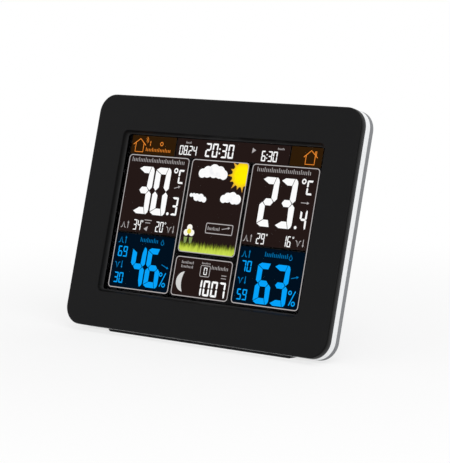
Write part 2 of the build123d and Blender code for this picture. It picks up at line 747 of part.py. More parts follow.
def make_stand():
    """Stand in its own frame: skin with a grip, edge and cross ribs, heel, barrel and stub pins."""
    skin_in = STAND_OUT - STAND_SKIN
    rib_in = skin_in - STAND_RIB
    plate = slab(leg_outline(0), skin_in, STAND_OUT)
    grip = Pos(0, STAND_GRIP_UP - STAND_LENGTH) * SlotOverall(STAND_GRIP_W, STAND_GRIP_H)
    plate -= slab(grip, STAND_OUT - STAND_GRIP_DEPTH, STAND_OUT)
    frame = slab(leg_outline(0) - leg_outline(STAND_RIB_T), rib_in, skin_in)
    frame -= block(2 * STAND_TOP_W, STAND_LENGTH, 0, STAND_LENGTH / 2 - BARREL_R, rib_in, skin_in)
    leg = plate + frame
    for share in STAND_CROSS_RIBS:
        up = -STAND_LENGTH * share
        half = STAND_TOP_W / 2 - (STAND_TOP_W - STAND_FOOT_W) / 2 * share - STAND_RIB_T
        leg += block(2 * half, STAND_RIB_T, 0, up, rib_in, skin_in)
    foot_rib_w = STAND_FOOT_W - 2 * STAND_RIB_T
    leg += block(foot_rib_w, 2 * STAND_RIB, 0, STAND_RIB - STAND_LENGTH, rib_in, skin_in)
    leg += block(STAND_TOP_W, HEEL_UP, 0, HEEL_UP / 2, -HEEL_IN, STAND_OUT)
    leg += cross_rod(0, 0, BARREL_R, -STAND_TOP_W / 2, STAND_TOP_W / 2)
    pin_end = STAND_TOP_W / 2 + PIN_REACH
    leg += cross_rod(0, 0, PIN_R, -pin_end, pin_end)
    return leg - sole_cut(PAD_T + SEAM)


def make_stand_pad():
    """Rubber pad under the stand, in the stand's own frame."""
    rib_in = STAND_OUT - STAND_SKIN - STAND_RIB
    width = STAND_FOOT_W - 2 * PAD_INSET
    pad = block(width, 4 * PAD_T, 0, -STAND_LENGTH + PAD_T, rib_in + SEAM, STAND_OUT - SEAM)
    return (pad & sole_cut(PAD_T)) - sole_cut(0)


def open_stand(shape):
    """Turn a piece of the stand out to its stop and put it at the pivot."""
    return Pos(0, PIVOT_DEPTH, PIVOT_UP) * Rot(STAND_ANGLE, 0, 0) * shape


def door_tab(x, grow):
    """Section of a locating tab of the battery door."""
    up = BAY_MIDDLE + BAY_H / 2 + DOOR_LEDGE / 2
    return Pos(BAY_CENTRE_X + x, up) * Rectangle(DOOR_TAB_W + 2 * grow, DOOR_TAB_T + 2 * grow - SEAM)


def make_battery_door():
    """Pull-off battery door with a springy latch tongue, locating tabs and grip grooves."""
    width = DOOR_W - 2 * DOOR_GAP
    plate = rounded(width, DOOR_H - 2 * DOOR_GAP, DOOR_R - DOOR_GAP, BAY_CENTRE_X, BAY_MIDDLE)
    low = BAY_MIDDLE - DOOR_H / 2 + DOOR_GAP
    for side in (-1, 1):
        x = BAY_CENTRE_X + side * (LATCH_W + LATCH_SLIT) / 2
        plate -= Pos(x, low + LATCH_L / 2) * Rectangle(LATCH_SLIT, LATCH_L)
    door = slab(plate, BACK - DOOR_T, BACK)
    for index in range(GRIP_COUNT):
        up = BAY_MIDDLE + (index - (GRIP_COUNT - 1) / 2) * GRIP_PITCH
        groove = Pos(BAY_CENTRE_X, up) * SlotOverall(GRIP_W, GRIP_GROOVE)
        door -= slab(groove, BACK - GRIP_DEPTH, BACK)
    for x in (-DOOR_TAB_X, DOOR_TAB_X):
        door += slab(door_tab(x, 0), BACK - DOOR_T - DOOR_TAB_H, BACK - DOOR_T)
    return door


def make_cell(x, upside_down):
    """AAA cell, standing in the bay."""
    top = CELL_LENGTH - CELL_NUB_H
    can = [(0, 0), (CELL_R, 0), (CELL_R, top)]
    nub = [(CELL_NUB_R, top), (CELL_NUB_R, CELL_LENGTH), (0, CELL_LENGTH)]
    cell = revolve(Plane.XZ * Polygon(*can, *nub, align=None), Axis.Z)
    circles = cell.edges().filter_by(GeomType.CIRCLE)
    cell = fillet(circles.filter_by(lambda edge: edge.radius > CELL_NUB_R + CELL_EDGE_R), CELL_EDGE_R)
    if upside_down:
        nub_end = bay_level(0, True) + CONTACT_BUMP_H
        return Pos(x, CELL_DEPTH, nub_end + CELL_LENGTH) * Rot(180, 0, 0) * cell
    return Pos(x, CELL_DEPTH, CELL_LOW) * cell


def bay_level(height, from_low):
    """Height of a contact's inner face at the lower or upper end of the bay."""
    inner = CONTACT_FIT + CONTACT_T + height
    if from_low:
        return BAY_LOW + inner + CONTACT_FIT
    return BAY_LOW + BAY_H - inner - CONTACT_FIT


def make_contact_base(x, at_low):
    """Plate of a battery contact against the end wall of the bay."""
    low = BAY_LOW + CONTACT_FIT
    if not at_low:
        low = BAY_LOW + BAY_H - CONTACT_FIT - CONTACT_T
    plane = Plane((x, CELL_DEPTH, low))
    return extrude(plane * Rectangle(CONTACT_W, CONTACT_W), amount=CONTACT_T)


def make_spring(x, at_low):
    """Spring contact for the flat end of a cell: a wire coil on its plate."""
    height = SPRING_LENGTH - 2 * SPRING_WIRE_R
    coil = Helix(pitch=height / SPRING_TURNS, height=height, radius=SPRING_R)
    wire = sweep(Plane(origin=coil @ 0, z_dir=coil % 0) * Circle(SPRING_WIRE_R), path=coil, is_frenet=True)
    if at_low:
        base = BAY_LOW + CONTACT_FIT + CONTACT_T + SPRING_WIRE_R / 2
        wire = Pos(x, CELL_DEPTH, base) * wire
    else:
        base = BAY_LOW + BAY_H - CONTACT_FIT - CONTACT_T - SPRING_WIRE_R / 2
        wire = Pos(x, CELL_DEPTH, base) * Rot(180, 0, 0) * wire
    return make_contact_base(x, at_low) + wire


def make_contact_plate(x, at_low):
    """Plate contact for the nub of a cell, with a pressed bump."""
    level = BAY_LOW + CONTACT_FIT + CONTACT_T
    direction = 1
    if not at_low:
        level = BAY_LOW + BAY_H - CONTACT_FIT - CONTACT_T
        direction = -1
    base = Plane((x, CELL_DEPTH, level), z_dir=(0, 0, direction))
    bump = extrude(base * Circle(CONTACT_BUMP_R), amount=CONTACT_BUMP_H, taper=CONTACT_BUMP_TAPER)
    return make_contact_base(x, at_low) + bump


def make_key(profile, flange, plunger_x, plunger_up):
    """Key cap with its flange inside the wall and a plunger down to the switch."""
    flange_back = BACK_IN - KEY_GAP
    flange_front = flange_back - KEY_FLANGE_T
    key = slab(profile, flange_back, BACK) + slab(flange, flange_front, flange_back)
    stem_top = BOARD_BACK + SEAM + SWITCH_H + STEM_UP
    return key + rod(plunger_x, plunger_up, PLUNGER_R, stem_top + SEAM, flange_front)


def make_round_key(x, up):
    """One of the six round keys, with a shallow dish in its cap."""
    cap = Pos(x, up) * Circle(KEY_R)
    flange = Pos(x, up) * Circle(KEY_R + KEY_FLANGE)
    key = make_key(cap, flange, x, up)
    ball = (KEY_DISH_R ** 2 + KEY_DISH ** 2) / (2 * KEY_DISH)
    return key - Pos(x, BACK + ball - KEY_DISH, up) * Sphere(ball)


def make_light_bar():
    """Wide key for the light and the alarm's snooze."""
    bar = make_key(light_bar_outline(0), light_bar_outline(KEY_FLANGE), 0, LIGHT_BAR_Z)
    rim = bar.faces().sort_by(Axis.Y)[-1].edges()
    return fillet(rim, EDGE_R / 2)


def make_switch(x, up):
    """Body of a push switch on the board."""
    front = BOARD_BACK + SEAM
    body = block(SWITCH_W, SWITCH_W, x, up, front, front + SWITCH_H)
    return body - rod(x, up, STEM_R + STEM_FIT, front + SWITCH_H - SWITCH_WELL, front + SWITCH_H)


def make_stem(x, up):
    """Stem of a push switch, which moves with its key."""
    top = BOARD_BACK + SEAM + SWITCH_H
    return rod(x, up, STEM_R, top - STEM_IN, top + STEM_UP)


def make_board():
    """Main circuit board on the carrier's posts."""
    x_middle = (BOARD_LEFT + BOARD_RIGHT) / 2
    up_middle = (BOARD_LOW + BOARD_HIGH) / 2
    width = BOARD_RIGHT - BOARD_LEFT
    board = block(width, BOARD_HIGH - BOARD_LOW, x_middle, up_middle, BOARD_FRONT, BOARD_BACK)
    for x, up in board_screw_places():
        board -= rod(x, up, SCREW_HOLE_R, BOARD_FRONT, BOARD_BACK)
    return board


def make_chip():
    """Controller under its rounded resin cap."""
    base = BOARD_BACK + SEAM
    ball = (CHIP_W ** 2 / 4 + CHIP_T ** 2) / (2 * CHIP_T)
    dome = Pos(CHIP_X, base + CHIP_T - ball, CHIP_UP) * Sphere(ball)
    return rod(CHIP_X, CHIP_UP, CHIP_W / 2, base, base + CHIP_T) & dome


def make_radio():
    """Receiver module for the outdoor sensor: a small board with a screening can."""
    base = BOARD_BACK + SEAM
    board = block(RADIO_W, RADIO_H, RADIO_X, RADIO_UP, base, base + RADIO_T)
    can = block(RADIO_CAN_W, RADIO_CAN_H, RADIO_X, RADIO_UP, base + RADIO_T, base + RADIO_T + RADIO_CAN_T)
    return board + can


def inlet_mouth():
    """Where the DC inlet starts, inside the wall of the hump."""
    return -(hump_side(BACK) - WALL - INLET_FIT)


def make_inlet():
    """Body of the DC inlet on the board, with its bore."""
    mouth = inlet_mouth()
    middle = mouth + INLET_LENGTH / 2
    half = INLET_BODY / 2
    body = block(INLET_LENGTH, INLET_BODY, middle, INLET_UP, INLET_DEPTH - half, INLET_DEPTH + half)
    return body - cross_rod(INLET_DEPTH, INLET_UP, INLET_BORE_R, mouth, mouth + INLET_BORE_DEPTH)


def make_inlet_pin():
    """Centre pin of the DC inlet, standing on the floor of the bore."""
    pin_end = inlet_mouth() + INLET_BORE_DEPTH - SEAM
    return cross_rod(INLET_DEPTH, INLET_UP, INLET_PIN_R, inlet_mouth() + INLET_PIN_BACK, pin_end)


def make_sensor_board():
    """Small board that carries the room sensor behind the vents."""
    back = BACK_IN - SENSOR_STANDOFF - SEAM
    return block(SENSOR_BOARD_W, SENSOR_BOARD_H, SENSOR_X, SENSOR_UP, back - SENSOR_BOARD_T, back)


def make_room_sensor():
    """Temperature and humidity sensor."""
    front = BACK_IN - SENSOR_STANDOFF
    chip = block(SENSOR_CHIP_W, SENSOR_CHIP_H, SENSOR_X, SENSOR_UP, front, front + SENSOR_CHIP_T)
    port_floor = front + SENSOR_CHIP_T - SENSOR_PORT_DEPTH
    return chip - rod(SENSOR_X, SENSOR_UP, SENSOR_PORT_R, port_floor, front + SENSOR_CHIP_T)


def make_buzzer():
    """Sounder disc against the rear wall."""
    return rod(BUZZER_X, BUZZER_UP, BUZZER_R, BACK_IN - SEAM - BUZZER_T, BACK_IN - SEAM)


def make_antenna_rod():
    """Ferrite rod of the time-signal antenna."""
    left = ANTENNA_X - ANTENNA_L / 2
    return cross_rod(ANTENNA_DEPTH, ANTENNA_UP, ANTENNA_R, left, left + ANTENNA_L)


def make_antenna_coil():
    """Winding round the middle of the rod."""
    left = ANTENNA_X - COIL_L / 2
    inner = ANTENNA_R + COIL_FIT
    coil = cross_rod(ANTENNA_DEPTH, ANTENNA_UP, inner + COIL_T, left, left + COIL_L)
    return coil - cross_rod(ANTENNA_DEPTH, ANTENNA_UP, inner, left, left + COIL_L)


def make_screw(x, up, head_front, head_r, head_h, shank_r, length):
    """Cross-slot screw driven from behind: domed head and plain shank."""
    shank = rod(x, up, shank_r, head_front - length, head_front)
    head = rod(x, up, head_r, head_front, head_front + head_h)
    head = fillet(head.faces().sort_by(Axis.Y)[-1].edges(), head_h / 2)
    cross = Rectangle(SCREW_CROSS_W, SCREW_CROSS_L) + Rectangle(SCREW_CROSS_L, SCREW_CROSS_W)
    head -= slab(Pos(x, up) * cross, head_front + head_h - SCREW_CROSS_DEPTH, head_front + head_h)
    return shank + head


def make_case_screws():
    """Screws that close the case."""
    seat = SCREW_SEAT + SEAM
    length = seat - BOSS_END + BOSS_HOLE_DEPTH - CASE_HEAD_H
    return [make_screw(x, up, seat, CASE_HEAD_R, CASE_HEAD_H, CASE_SCREW_R, length)
            for x, up in case_screw_places()]


def make_board_screws():
    """Screws that hold the board on its posts."""
    seat = BOARD_BACK + SEAM
    length = BOARD_T + BOARD_SCREW_BITE
    return [make_screw(x, up, seat, BOARD_HEAD_R, BOARD_HEAD_H, BOARD_SCREW_R, length)
            for x, up in board_screw_places()]


def make_pieces():
    """Every piece of the station, by node name, in the upright frame."""
    guide = guide_sketch()
    pieces = {
        "front_bezel": make_bezel(),
        "display_window": make_window(),
        "lcd_glass": make_glass(),
        "diffuser_sheet": slab(guide, DIFFUSER_FRONT, DIFFUSER_FRONT + DIFFUSER_T),
        "light_guide": slab(guide, GUIDE_FRONT, GUIDE_FRONT + GUIDE_T),
        "display_carrier": make_carrier(),
        "led_strip": make_led_strip(),
        "display_ribbon": make_ribbon(),
        "trim_ring": make_trim_ring(),
        "rear_cover": make_rear_cover(),
        "foot_bar": make_foot_bar(),
        "stand": open_stand(make_stand()),
        "stand_pad": open_stand(make_stand_pad()),
        "battery_door": make_battery_door(),
        "main_board": make_board(),
        "controller_chip": make_chip(),
        "radio_module": make_radio(),
        "dc_inlet": make_inlet(),
        "inlet_pin": make_inlet_pin(),
        "sensor_board": make_sensor_board(),
        "room_sensor": make_room_sensor(),
        "buzzer": make_buzzer(),
        "antenna_rod": make_antenna_rod(),
        "antenna_coil": make_antenna_coil(),
        "case_screws": make_case_screws(),
        "board_screws": make_board_screws(),
    }
    for index, x in enumerate(cell_places()):
        number = index + 1
        upside_down = index % 2 == 1
        pieces[f"battery_{number}"] = make_cell(x, upside_down)
        pieces[f"battery_spring_{number}"] = make_spring(x, not upside_down)
        pieces[f"contact_plate_{number}"] = make_contact_plate(x, upside_down)
    for name, (x, up) in zip(KEY_NAMES, key_places()):
        pieces[f"key_{name}"] = make_round_key(x, up)
        pieces[f"switch_{name}"] = make_switch(x, up)
        pieces[f"stem_{name}"] = make_stem(x, up)
    pieces["light_bar"] = make_light_bar()
    pieces["switch_light"] = make_switch(0, LIGHT_BAR_Z)
    pieces["stem_light"] = make_stem(0, LIGHT_BAR_Z)
    return pieces


def as_compound(shape):
    """One compound from a piece or a list of like pieces."""
    if isinstance(shape, list):
        return Compound(children=shape)
    return shape


def leaning():
    """Move from the upright frame to the leaning one, before the station is centred."""
    return Rot(-LEAN, 0, 0)


def centring(pieces):
    """Shift that puts the middle of the footprint at the origin and the table at zero."""
    boxes = [(leaning() * as_compound(shape)).bounding_box() for shape in pieces.values()]
    front = min(box.min.Y for box in boxes)
    back = max(box.max.Y for box in boxes)
    return Pos(0, -(front + back) / 2, -TABLE)


def main():
    os.makedirs("parts", exist_ok=True)
    pieces = make_pieces()
    place = centring(pieces) * leaning()
    for name, shape in pieces.items():
        export_step(place * as_compound(shape), f"parts/{name}.step")
    pivot = place * Pos(0, PIVOT_DEPTH, PIVOT_UP)
    print("stand pivot", pivot.position, "opening angle", round(STAND_ANGLE, 4))


if __name__ == "__main__":
    main()
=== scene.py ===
"""Home weather station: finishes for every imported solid, the lit display and the studio round it."""

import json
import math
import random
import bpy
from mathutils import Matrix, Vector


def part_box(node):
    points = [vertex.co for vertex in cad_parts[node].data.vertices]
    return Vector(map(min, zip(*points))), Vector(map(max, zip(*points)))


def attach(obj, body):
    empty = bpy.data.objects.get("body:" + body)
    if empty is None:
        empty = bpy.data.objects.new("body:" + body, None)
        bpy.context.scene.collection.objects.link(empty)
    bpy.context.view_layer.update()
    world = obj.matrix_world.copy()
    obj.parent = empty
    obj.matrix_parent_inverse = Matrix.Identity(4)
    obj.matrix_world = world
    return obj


bl_info = {
    "name": "Home Weather Station",
    "version": (1, 0, 0),
    "blender": (4, 5, 0),
    "location": "3D View > Sidebar > Weather Station",
    "description": "Dresses the weather station's solids, draws its display and sets its studio",
    "category": "Object",
}

import bmesh
import bpy
from bpy.props import FloatProperty, FloatVectorProperty, IntProperty, PointerProperty
from mathutils import Matrix, Vector

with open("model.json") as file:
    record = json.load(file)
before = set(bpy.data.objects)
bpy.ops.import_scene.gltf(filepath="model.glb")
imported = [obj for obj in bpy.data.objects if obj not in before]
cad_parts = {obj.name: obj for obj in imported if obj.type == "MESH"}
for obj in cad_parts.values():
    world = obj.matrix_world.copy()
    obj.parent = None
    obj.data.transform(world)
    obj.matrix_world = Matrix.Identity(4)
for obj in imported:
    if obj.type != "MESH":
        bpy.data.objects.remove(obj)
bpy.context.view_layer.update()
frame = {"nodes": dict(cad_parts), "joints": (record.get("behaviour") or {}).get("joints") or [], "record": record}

MM = 0.001
HOUSING = "housing"

# The housing leans back: the battery door slides straight out of its back, along its depth.
DEPTH = Vector(next(j["axis"] for j in frame["joints"] if j["name"] == "battery_door_pull"))
ACROSS = Vector((1, 0, 0))
UPWARD = ACROSS.cross(DEPTH)


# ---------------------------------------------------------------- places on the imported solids


def span(node, direction):
    """The nearest and farthest place of a node along a direction."""
    places = [vertex.co.dot(direction) for vertex in frame["nodes"][node].data.vertices]
    return min(places), max(places)


def centre_of(node):
    """The middle of a node's box."""
    low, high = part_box(node)
    return (low + high) / 2


def plane(origin, across, upward):
    """The matrix that takes millimetres on a drawing plane to metres in the frame."""
    outward = across.cross(upward)
    basis = Matrix((across, upward, outward)).transposed().to_4x4()
    return Matrix.Translation(origin) @ basis @ Matrix.Scale(MM, 4)


def plane_on(node, depth):
    """A drawing plane square to the face, centred on a node, at a given depth."""
    middle = centre_of(node)
    return plane(middle + DEPTH * (depth - middle.dot(DEPTH)), ACROSS, UPWARD)


# The display graphics lie in the thin gap between the cell's glass and the window over it.
GLASS_FRONT = span("lcd_glass", DEPTH)[0]
WINDOW_BACK = span("display_window", DEPTH)[1]
GAP = (GLASS_FRONT - WINDOW_BACK) / MM
CELL_LAYER = (0.1 * GAP, 0.2 * GAP)
LINE_LAYER = (0.3 * GAP, 0.5 * GAP)
TOP_LAYER = (0.6 * GAP, 0.8 * GAP)
DISPLAY = plane_on("display_window", GLASS_FRONT)


# ---------------------------------------------------------------- flat shapes, in millimetres


def flat_shape(outline):
    """A flat face with the given outline of (x, u) points."""
    flat = bmesh.new()
    flat.faces.new([flat.verts.new((x, u, 0)) for x, u in outline])
    return flat


def flat_box(x0, x1, u0, u1, radius=0.0):
    """A rectangle, with round corners where a radius is given."""
    flat = flat_shape([(x0, u0), (x1, u0), (x1, u1), (x0, u1)])
    if radius:
        corners = list(flat.verts)
        bmesh.ops.bevel(flat, geom=corners, offset=radius, affect="VERTICES", segments=6,
                        profile=0.5, material=-1)
    return flat


def flat_frame(x0, x1, u0, u1, radius, width):
    """A thin line round a rectangle with round corners."""
    flat = flat_box(x0, x1, u0, u1, radius)
    inner = list(flat.faces)
    bmesh.ops.inset_region(flat, faces=inner, thickness=width, use_boundary=True,
                           use_even_offset=True)
    bmesh.ops.delete(flat, geom=inner, context="FACES")
    return flat


def flat_disc(x, u, radius, segments=28):
    """A round spot."""
    flat = bmesh.new()
    bmesh.ops.create_circle(flat, cap_ends=True, segments=segments, radius=radius,
                            matrix=Matrix.Translation((x, u, 0)))
    return flat


def arc(x, u, radius, start, end, steps=16):
    """Points along an arc, from one angle to another in degrees."""
    angles = [math.radians(start + (end - start) * k / steps) for k in range(steps + 1)]
    return [(x + radius * math.cos(a), u + radius * math.sin(a)) for a in angles]


def ring(x, u, radius, steps=16):
    """Points round a circle, for a closed line."""
    return arc(x, u, radius, 0, 360 - 360 / steps, steps - 1)


def merge(bm, part):
    """Adds one bmesh to another and frees it."""
    holder = bpy.data.meshes.new("holder")
    part.to_mesh(holder)
    part.free()
    bm.from_mesh(holder)
    bpy.data.meshes.remove(holder)


def raised(bm, flat, layer=LINE_LAYER):
    """Raises a flat shape to a plate between the two heights of a layer, and adds it."""
    low, high = layer
    made = bmesh.ops.extrude_face_region(flat, geom=list(flat.faces))
    top = [item for item in made["geom"] if isinstance(item, bmesh.types.BMVert)]
    bmesh.ops.translate(flat, verts=top, vec=(0, 0, high - low))
    bmesh.ops.translate(flat, verts=list(flat.verts), vec=(0, 0, low))
    merge(bm, flat)


def stroked(bm, lines, width, closed=False, layer=LINE_LAYER):
    """Adds drawn lines of one width, each given by its points."""
    low, high = layer
    curve = bpy.data.curves.new("stroke", "CURVE")
    curve.dimensions = "3D"
    curve.bevel_depth = width / 2
    curve.bevel_resolution = 0
    curve.use_fill_caps = True
    for points in lines:
        spline = curve.splines.new("POLY")
        spline.points.add(len(points) - 1)
        for point, (x, u) in zip(spline.points, points):
            point.co = (x, u, 0, 1)
        spline.use_cyclic_u = closed
    holder = bpy.data.objects.new("stroke", curve)
    mesh = bpy.data.meshes.new_from_object(holder)
    flatten = Matrix.Diagonal((1, 1, (high - low) / width, 1))
    mesh.transform(Matrix.Translation((0, 0, (low + high) / 2)) @ flatten)
    bm.from_mesh(mesh)
    bpy.data.objects.remove(holder)
    bpy.data.curves.remove(curve)
    bpy.data.meshes.remove(mesh)


def arrow(bm, tail, tip, width, head):
    """Adds the shaft and the head of a straight arrow."""
    tail, tip = Vector(tail), Vector(tip)
    along = (tip - tail).normalized()
    side = Vector((-along.y, along.x))
    neck = tip - along * head
    half = side * width / 2
    raised(bm, flat_shape([tail - half, neck - half, neck + half, tail + half]))
    raised(bm, flat_shape([neck - side * head / 2, tip, neck + side * head / 2]))


def mesh_object(name, bm, material):
    """Turns a bmesh into an object of the scene, with one material."""
    mesh = bpy.data.meshes.new(name)
    bm.to_mesh(mesh)
    bm.free()
    mesh.materials.append(material)
    made = bpy.data.objects.new(name, mesh)
    bpy.context.scene.collection.objects.link(made)
    return made


def place(name, bm, matrix, material, body):
    """Puts a finished drawing on its plane as a named piece that rides on a body."""
    bmesh.ops.transform(bm, matrix=matrix, verts=list(bm.verts))
    bmesh.ops.recalc_face_normals(bm, faces=list(bm.faces))
    piece = mesh_object(name, bm, material)
    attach(piece, body)


def on_display(name, bm, material):
    """Puts a finished drawing on the display."""
    place(name, bm, DISPLAY, material, HOUSING)


# ---------------------------------------------------------------- segment figures

LIT_SEGMENTS = {
    "0": "abcdef", "1": "bc", "2": "abged", "3": "abgcd", "4": "fgbc",
    "5": "afgcd", "6": "afgedc", "7": "abc", "8": "abcdefg", "9": "abcdfg", "C": "adef",
}
FINE = 1e-6
# Shares of a bar's thickness: the gap between bars, the drop of the pointed left corner, where
# the mitre at the right crosses the outer and the inner edge, and the waist between side bars.
SEGMENT_GAP, LEFT_DROP, MITRE_OUT, MITRE_IN, WAIST = 0.1, 0.42, 0.62, 0.95, 0.45
# The start of the top bar, and the rounding of the right corner, in from its edge and down.
TOP_START = (0.05, 0.7)
ROUNDING = ((0.4, 0.0), (0.12, 0.25), (0.0, 0.6))


def segment_outlines(width, height, bar):
    """The seven bars of a figure: pointed at its left and middle, mitred at its right."""
    gap = SEGMENT_GAP * bar
    half, halfway = height / 2, gap / 2
    tip, inside = height - LEFT_DROP * bar, height - bar
    outer, inner = width - MITRE_OUT * bar, width - MITRE_IN * bar
    top = [(TOP_START[0] * bar, tip + halfway), (TOP_START[1] * bar, height),
           (outer - halfway, height), (inner - halfway, inside), (bar + gap, inside)]
    right = [(outer + halfway, height),
             *((width - across * bar, height - down * bar) for across, down in ROUNDING),
             (width, half + bar / 2), (width - WAIST * bar, half + halfway),
             (width - bar, half + bar / 2 + gap), (inner + halfway, inside)]
    left = [(0, tip - halfway), (bar, inside - halfway), (bar, half + bar / 2 + gap),
            (WAIST * bar, half + halfway), (0, half + bar / 2)]
    middle = [(bar / 2 + gap, half), (bar, half + bar / 2), (width - bar, half + bar / 2),
              (width - bar / 2 - gap, half), (width - bar, half - bar / 2), (bar, half - bar / 2)]

    def mirrored(outline):
        return [(x, height - u) for x, u in reversed(outline)]

    return {"a": top, "b": right, "f": left, "g": middle,
            "d": mirrored(top), "c": mirrored(right), "e": mirrored(left)}


def figures(bm, text, x, u, size, pitch, bar):
    """Adds a row of segment figures from its lower left corner."""
    outlines = segment_outlines(*size, bar)
    for number, character in enumerate(text):
        left = x + number * pitch
        for letter in LIT_SEGMENTS[character]:
            raised(bm, flat_shape([(left + px, u + pu) for px, pu in outlines[letter]]))


def drawing(rows=(), spots=(), rings=(), lines=(), width=0.0):
    """A bmesh with rows of figures, round spots, and rings and lines of one width."""
    bm = bmesh.new()
    for row in rows:
        figures(bm, *row)
    for spot in spots:
        raised(bm, flat_disc(*spot))
    if rings:
        stroked(bm, [ring(*circle) for circle in rings], width, closed=True)
    if lines:
        stroked(bm, lines, width)
    return bm


# ---------------------------------------------------------------- colours and node tools


def screen(red, green, blue):
    """A colour given as it shows on a screen, 0 to 255, made linear."""
    def linear(value):
        value = value / 255
        return value / 12.92 if value <= 0.04045 else ((value + 0.055) / 1.055) ** 2.4

    return (linear(red), linear(green), linear(blue))


def solid(colour):
    """A colour with full opacity."""
    return (*colour, 1)


def fill(tree, node, inputs):
    """Sets or links a node's inputs, by name or number."""
    for key, value in inputs.items():
        same_name = [socket for socket in node.inputs if socket.name == key and socket.enabled]
        socket = same_name[0] if same_name else node.inputs[key]
        if isinstance(value, bpy.types.NodeSocket):
            tree.links.new(value, socket)
        else:
            socket.default_value = value


def add_node(tree, kind, inputs=None, **settings):
    """Adds a node, sets its options and fills its inputs."""
    made = tree.nodes.new(kind)
    for option, value in settings.items():
        setattr(made, option, value)
    fill(tree, made, inputs or {})
    return made


def maths(tree, operation, *values, **settings):
    """The result of one sum."""
    return add_node(tree, "ShaderNodeMath", dict(enumerate(values)), operation=operation,
                    **settings).outputs[0]


def measured(tree, operation, *points):
    """A length, a distance or a dot product."""
    return add_node(tree, "ShaderNodeVectorMath", dict(enumerate(points)),
                    operation=operation).outputs["Value"]


def object_point(tree):
    """Where a point lies on its object."""
    return add_node(tree, "ShaderNodeTexCoord").outputs["Object"]


def along(tree, direction):
    """How far along a direction a point lies."""
    return measured(tree, "DOT_PRODUCT", object_point(tree), direction)


def noise(tree, scale, detail, roughness=0.5, point=None):
    """A noise from 0 to 1 over an object."""
    return add_node(tree, "ShaderNodeTexNoise", {
        "Vector": point or object_point(tree), "Scale": scale, "Detail": detail,
        "Roughness": roughness}).outputs["Fac"]


def ranged(tree, value, low, high, to_low=0.0, to_high=1.0, **settings):
    """A value moved from one range to another, and held at its ends."""
    return add_node(tree, "ShaderNodeMapRange", {
        "Value": value, "From Min": low, "From Max": high, "To Min": to_low,
        "To Max": to_high}, **settings).outputs[0]


def scaled(tree, colour, level):
    """A colour made brighter or darker."""
    return add_node(tree, "ShaderNodeVectorMath", {0: colour, "Scale": level},
                    operation="SCALE").outputs[0]


def mixed(tree, share, first, second):
    """A first colour that a second takes over as the share rises to 1."""
    return add_node(tree, "ShaderNodeMix", {"Factor": share, "A": first, "B": second},
                    data_type="RGBA").outputs["Result"]


def colour_ramp(tree, share, stops):
    """A colour that runs through stops, each a position and a colour."""
    ramp = add_node(tree, "ShaderNodeValToRGB", {"Fac": share})
    elements = ramp.color_ramp.elements
    while len(elements) < len(stops):
        elements.new(0.5)
    for element, (position, colour) in zip(elements, stops):
        element.position = position
        element.color = solid(colour)
    return ramp.outputs["Color"]


def new_group(name, inputs, outputs):
    """Starts a shader node group: the group, its given sockets and its result."""
    group = bpy.data.node_groups.new(name, "ShaderNodeTree")
    for label, kind, value in inputs:
        socket = group.interface.new_socket(name=label, in_out="INPUT", socket_type=kind)
        socket.default_value = value
    for label, kind in outputs:
        group.interface.new_socket(name=label, in_out="OUTPUT", socket_type=kind)
    return (group, group.nodes.new("NodeGroupInput").outputs,
            group.nodes.new("NodeGroupOutput"))


FLOAT, COLOUR, VECTOR = "NodeSocketFloat", "NodeSocketColor", "NodeSocketVector"
WHITE, BLACK = (1, 1, 1, 1), (0, 0, 0, 1)


def moulded_group():
    """Moulded or coated surfaces: fine grain, a slow drift of tone and handled patches."""
    group, given, result = new_group(
        "moulded_surface",
        [("Colour", COLOUR, (0.5, 0.5, 0.5, 1)), ("Drift", FLOAT, 0.1), ("Grain", FLOAT, 2500.0),
         ("Height", FLOAT, 0.00002), ("Roughness", FLOAT, 0.5), ("Patches", FLOAT, 0.08)],
        [("Colour", COLOUR), ("Roughness", FLOAT), ("Normal", VECTOR)])
    drift = given["Drift"]
    grain = noise(group, given["Grain"], 3.0, 0.6)
    slow = maths(group, "MULTIPLY", noise(group, 18.0, 4.0, 0.55), drift)
    speck = maths(group, "MULTIPLY", grain, drift)
    level = maths(group, "ADD", maths(group, "SUBTRACT", 1.0, drift),
                  maths(group, "ADD", slow, speck))
    patches = maths(group, "SUBTRACT", noise(group, 55.0, 5.0, 0.65), 0.5)
    bump = add_node(group, "ShaderNodeBump", {
        "Strength": 1.0, "Distance": given["Height"], "Height": grain})
    fill(group, result, {
        "Colour": scaled(group, given["Colour"], level), "Normal": bump.outputs[0],
        "Roughness": maths(group, "MULTIPLY_ADD", patches, given["Patches"],
                           given["Roughness"], use_clamp=True)})
    return group


def glow_group():
    """Lit display areas: the backlight's soft unevenness over one colour."""
    group, given, result = new_group(
        "backlit_colour", [("Colour", COLOUR, WHITE), ("Unevenness", FLOAT, 0.06)],
        [("Colour", COLOUR)])
    cloudy = maths(group, "SUBTRACT", noise(group, 35.0, 2.0), 0.5)
    level = maths(group, "MULTIPLY_ADD", cloudy, given["Unevenness"], 1.0)
    fill(group, result, {"Colour": scaled(group, given["Colour"], level)})
    return group


def group_named(name, maker):
    """A shared group, built the first time it is asked for."""
    return bpy.data.node_groups.get(name) or maker()


def new_material(name):
    """A material with an empty tree, its shader and its output."""
    material = bpy.data.materials.new(name)
    material.use_nodes = True
    tree = material.node_tree
    tree.nodes.clear()
    shader = tree.nodes.new("ShaderNodeBsdfPrincipled")
    output = tree.nodes.new("ShaderNodeOutputMaterial")
    tree.links.new(shader.outputs[0], output.inputs["Surface"])
    return material, tree, shader


